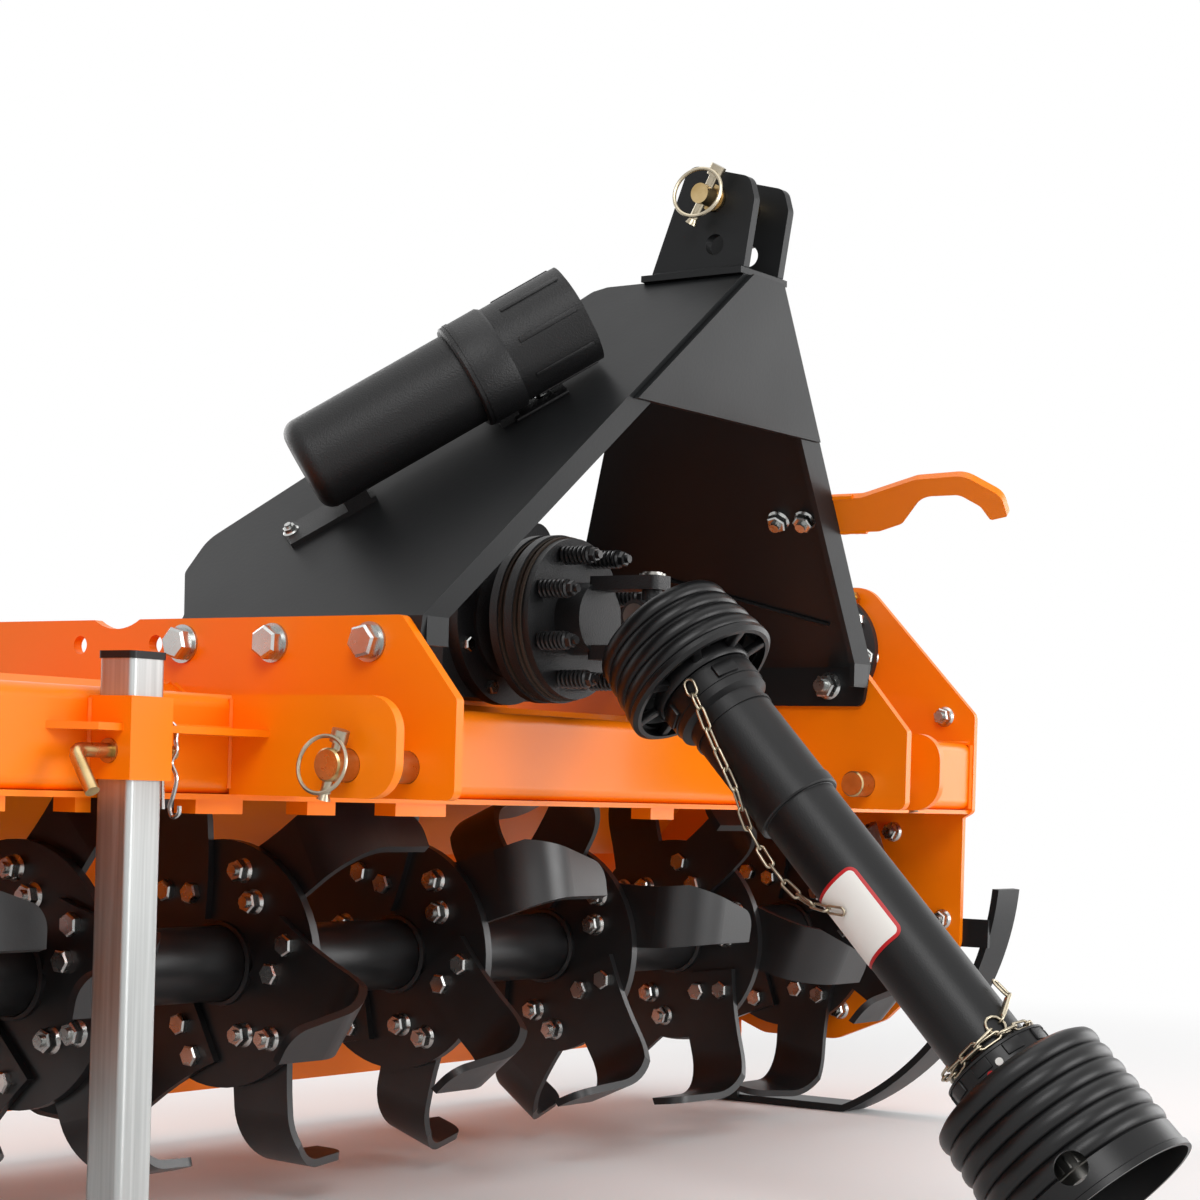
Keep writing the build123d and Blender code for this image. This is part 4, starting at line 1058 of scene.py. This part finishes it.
def makeBearingCap():
    bm = bmesh.new()
    matrix = aimed((bearing["x"], 0, bearing["z"]), (-1, 0, 0))
    lathe(bm, bearing["cap"], matrix, 48)
    lathe(bm, bearing["rim"], matrix, 64)
    finishPiece(bm, "bearingCap", "cast", "frame")
    bolts = bmesh.new()
    for ring in bearing["boltRings"]:
        boltRing(bolts, *ring)
    finishPiece(bolts, "bearingBolts", "zinc", "frame")


makeSideBolts()
makeCaseFlange()
makeBearingCap()
print("stage: sides")


# Document tube: clamp band, grip ribs on its cap, band screw and tab nut

papers = {"startY": 178, "startUp": 143, "turn": 49.2, "off": 55, "ringAt": 200, "long": 292, "capR": 47,
          "ribs": 8, "ribHalf": 2.4, "plateFrom": -24, "plateTo": 14, "plateHigh": 4,
          "screws": ((229, -4, 4), (-36, 6, 5)), "nut": {"across": 11, "high": 5, "flange": 8, "stud": 2.5}}


def makePapersTube():
    start, out = panelPoint(-1, -papers["startY"], papers["startUp"])
    x = Vector((0, -1, 0))
    leaning = Matrix((x, out.cross(x), out)).transposed().to_4x4()
    flat = Matrix.Translation(start) @ leaning @ Matrix.Rotation(math.radians(papers["turn"]), 4, "Z")
    matrix = flat @ Matrix.Translation((0, 0, papers["off"]))
    low, high, r, half = papers["ringAt"], papers["long"], papers["capR"], papers["ribHalf"]
    bm = bmesh.new()
    for index in range(papers["ribs"]):
        turn = matrix @ Matrix.Rotation(math.tau * (index + 0.3) / papers["ribs"], 4, "X")
        slab(bm, (low + 26, -half, r - 2), (high - 6, half, r + 1.2), 0.8, turn)
    axis = matrix @ Matrix.Rotation(math.pi / 2, 4, "Y")
    band = [(r - 4, low - 30), (r + 1, low - 30), (r + 3, low - 28), (r + 3, low + 9), (r + 1, low + 12),
            (r - 4, low + 12)]
    strap = [(r + 1, low - 24), (r + 3.8, low - 24), (r + 3.8, low - 20), (r + 1, low - 20)]
    endFace = [(20, high - 1), (r - 5, high - 1), (r - 6, high + 1.5), (20, high + 1.5)]
    for outline, steps in ((band, 64), (strap, 64), (endFace, 48)):
        lathe(bm, outline, axis, steps)
    slab(bm, (low - 6, papers["plateFrom"], 0), (low + 50, papers["plateTo"], papers["plateHigh"]), 1.5, flat)
    finishPiece(bm, "capRibs", "tube", "frame")
    screws = bmesh.new()
    out = flat.to_3x3() @ Vector((0, 0, 1))
    for spot in papers["screws"]:
        hexNut(screws, flat @ Vector(spot), out, turn=spot[0], **papers["nut"])
    finishPiece(screws, "papersScrews", "zinc", "frame")


makePapersTube()


# Weld beads: a row stands at each x, with each bead's ends in (y, z)

beads = {
    "wall": {"xs": (-450, -440, 340, 350, -528, -518, 418, 428), "r": 2.6,
             "ends": (((-240, 408), (-240, 484)),)},
    "rail": {"xs": (-450, -440, 340, 350), "r": 2.8,
             "ends": (((-238, 488), (-186, 488)), ((-92, 500), (116, 500)), ((-182, 440), (-98, 500)))},
    "sleeve": {"xs": (-693.5, -646.5), "r": 2.6, "ends": (((-241, 415), (-241, 478)),)},
    "side": {"xs": (-847, 847), "r": 3.0, "step": 5,
             "ends": (((-238, 488), (-182, 488)), ((-182, 488), (-180, 438)), ((-180, 438), (-97, 500)),
                      ((-97, 500), (119, 500)), ((119, 500), (249, 338)), ((-241, 405), (-241, 486)))},
    "edge": {"xs": (858, -858), "r": 2.4, "ends": (((100, 30), (100, 160)),)},
    "ear": {"xs": (-86, -76, -24, -14), "r": 2.4, "ends": (((-461, 911), (-364, 911)),)},
    "arm": ((-644, -241, 458), (-530, -241, 458), 2.6),  # from the stand's sleeve to the clevis
    # On the headstock's left side: each end's y and way up the slope, how far off it, and the radius
    "hook": (((-376, 187), (-440, 187), 2, 3.0), ((-376, 232), (-440, 232), 2, 3.0)),
    "panel": ((-176, 134), (-351, 66), -7, 2.6),
}


def weldRow(bm, row):
    for x in row["xs"]:
        for (yFrom, zFrom), (yTo, zTo) in row["ends"]:
            weld(bm, (x, yFrom, zFrom), (x, yTo, zTo), row["r"], row.get("step", 4))


def panelWeld(bm, start, end, off, r):
    weld(bm, panelPoint(1, *start, off)[0], panelPoint(1, *end, off)[0], r)


def makeWelds():
    orange = bmesh.new()
    for name in ("wall", "rail", "sleeve"):
        weldRow(orange, beads[name])
    weld(orange, *beads["arm"])
    weldRow(orange, beads["side"])
    for bead in beads["hook"]:
        panelWeld(orange, *bead)
    weldRow(orange, beads["edge"])
    finishPiece(orange, "orangeWelds", "orange", "frame")
    grey = bmesh.new()
    weldRow(grey, beads["ear"])
    panelWeld(grey, *beads["panel"])
    finishPiece(grey, "greyWelds", "grey", "frame")


makeWelds()


# Gate rods: collars, clips and end nuts, placed up each rod from its guide

gateRods = {"xs": (-466, 366), "lugY": 352, "lugZ": 180, "guideY": 245, "guideZ": 545,
            "collarR": 11, "collarFrom": 12, "collarTo": 26, "washerR": 12, "washerFrom": 96, "washerTo": 98,
            "nut": {"across": 19, "high": 9}, "clipR": 3, "clipHalf": 9, "clipAt": 19}


def makeRodFittings():
    start = Vector((0, gateRods["lugY"], gateRods["lugZ"]))
    run = Vector((0, gateRods["guideY"], gateRods["guideZ"])) - start
    top = run.length
    half = gateRods["clipHalf"]
    for name, x in zip(("right", "left"), gateRods["xs"]):
        bm = bmesh.new()
        matrix = aimed(start + Vector((x, 0, 0)), run)
        nutAt = top + gateRods["washerTo"]
        rod(bm, gateRods["collarR"], top + gateRods["collarFrom"], top + gateRods["collarTo"], matrix, 24)
        rod(bm, gateRods["washerR"], top + gateRods["washerFrom"], nutAt, matrix, 24)
        hexNut(bm, matrix @ Vector((0, 0, nutAt)), run, turn=20, **gateRods["nut"])
        clip = matrix @ Matrix.Translation((0, 0, top + gateRods["clipAt"]))
        rod(bm, gateRods["clipR"], -half, half, clip @ Matrix.Rotation(math.pi / 2, 4, "X"), 12)
        finishPiece(bm, "rodFittings" + name.title(), "zinc", "gate rod " + name)


makeRodFittings()
print("stage: welds and rods")


def makeFloor():
    bm = bmesh.new()
    bmesh.ops.create_grid(bm, x_segments=1, y_segments=1, size=floorLook["size"])
    mesh = bpy.data.meshes.new("floor")
    bm.to_mesh(mesh)
    bm.free()
    # White studio floor: dull near the machine so that its shadow shows, plain white farther out
    settings = {"Base Color": linear(floorLook["colour"]), "Roughness": 0.7}
    material, (tree, shader, where) = newMaterial("paleFloor", **settings)
    away = addNode(tree, "ShaderNodeVectorMath", {"operation": "LENGTH"}, {0: where})
    fade = addNode(tree, "ShaderNodeMapRange",
                   {"interpolation_type": "SMOOTHSTEP", "From Min": floorLook["plainFrom"],
                    "From Max": floorLook["plainTo"]}, {"Value": away.outputs["Value"]})
    share = addNode(tree, "ShaderNodeMath", {"operation": "MULTIPLY"},
                    {0: fade.outputs[0], 1: seenRays(tree)})
    white = addNode(tree, "ShaderNodeEmission", {"Color": (1, 1, 1, 1), "Strength": 1.0})
    blend = addNode(tree, "ShaderNodeMixShader", None,
                    {0: share.outputs[0], 1: shader.outputs[0], 2: white.outputs[0]})
    output = next(node for node in tree.nodes if node.type == "OUTPUT_MATERIAL")
    tree.links.new(blend.outputs[0], output.inputs["Surface"])
    mesh.materials.append(material)
    floor = bpy.data.objects.new("floor", mesh)
    floor.location.z = -floorLook["below"]
    bpy.context.scene.collection.objects.link(floor)


makeFloor()
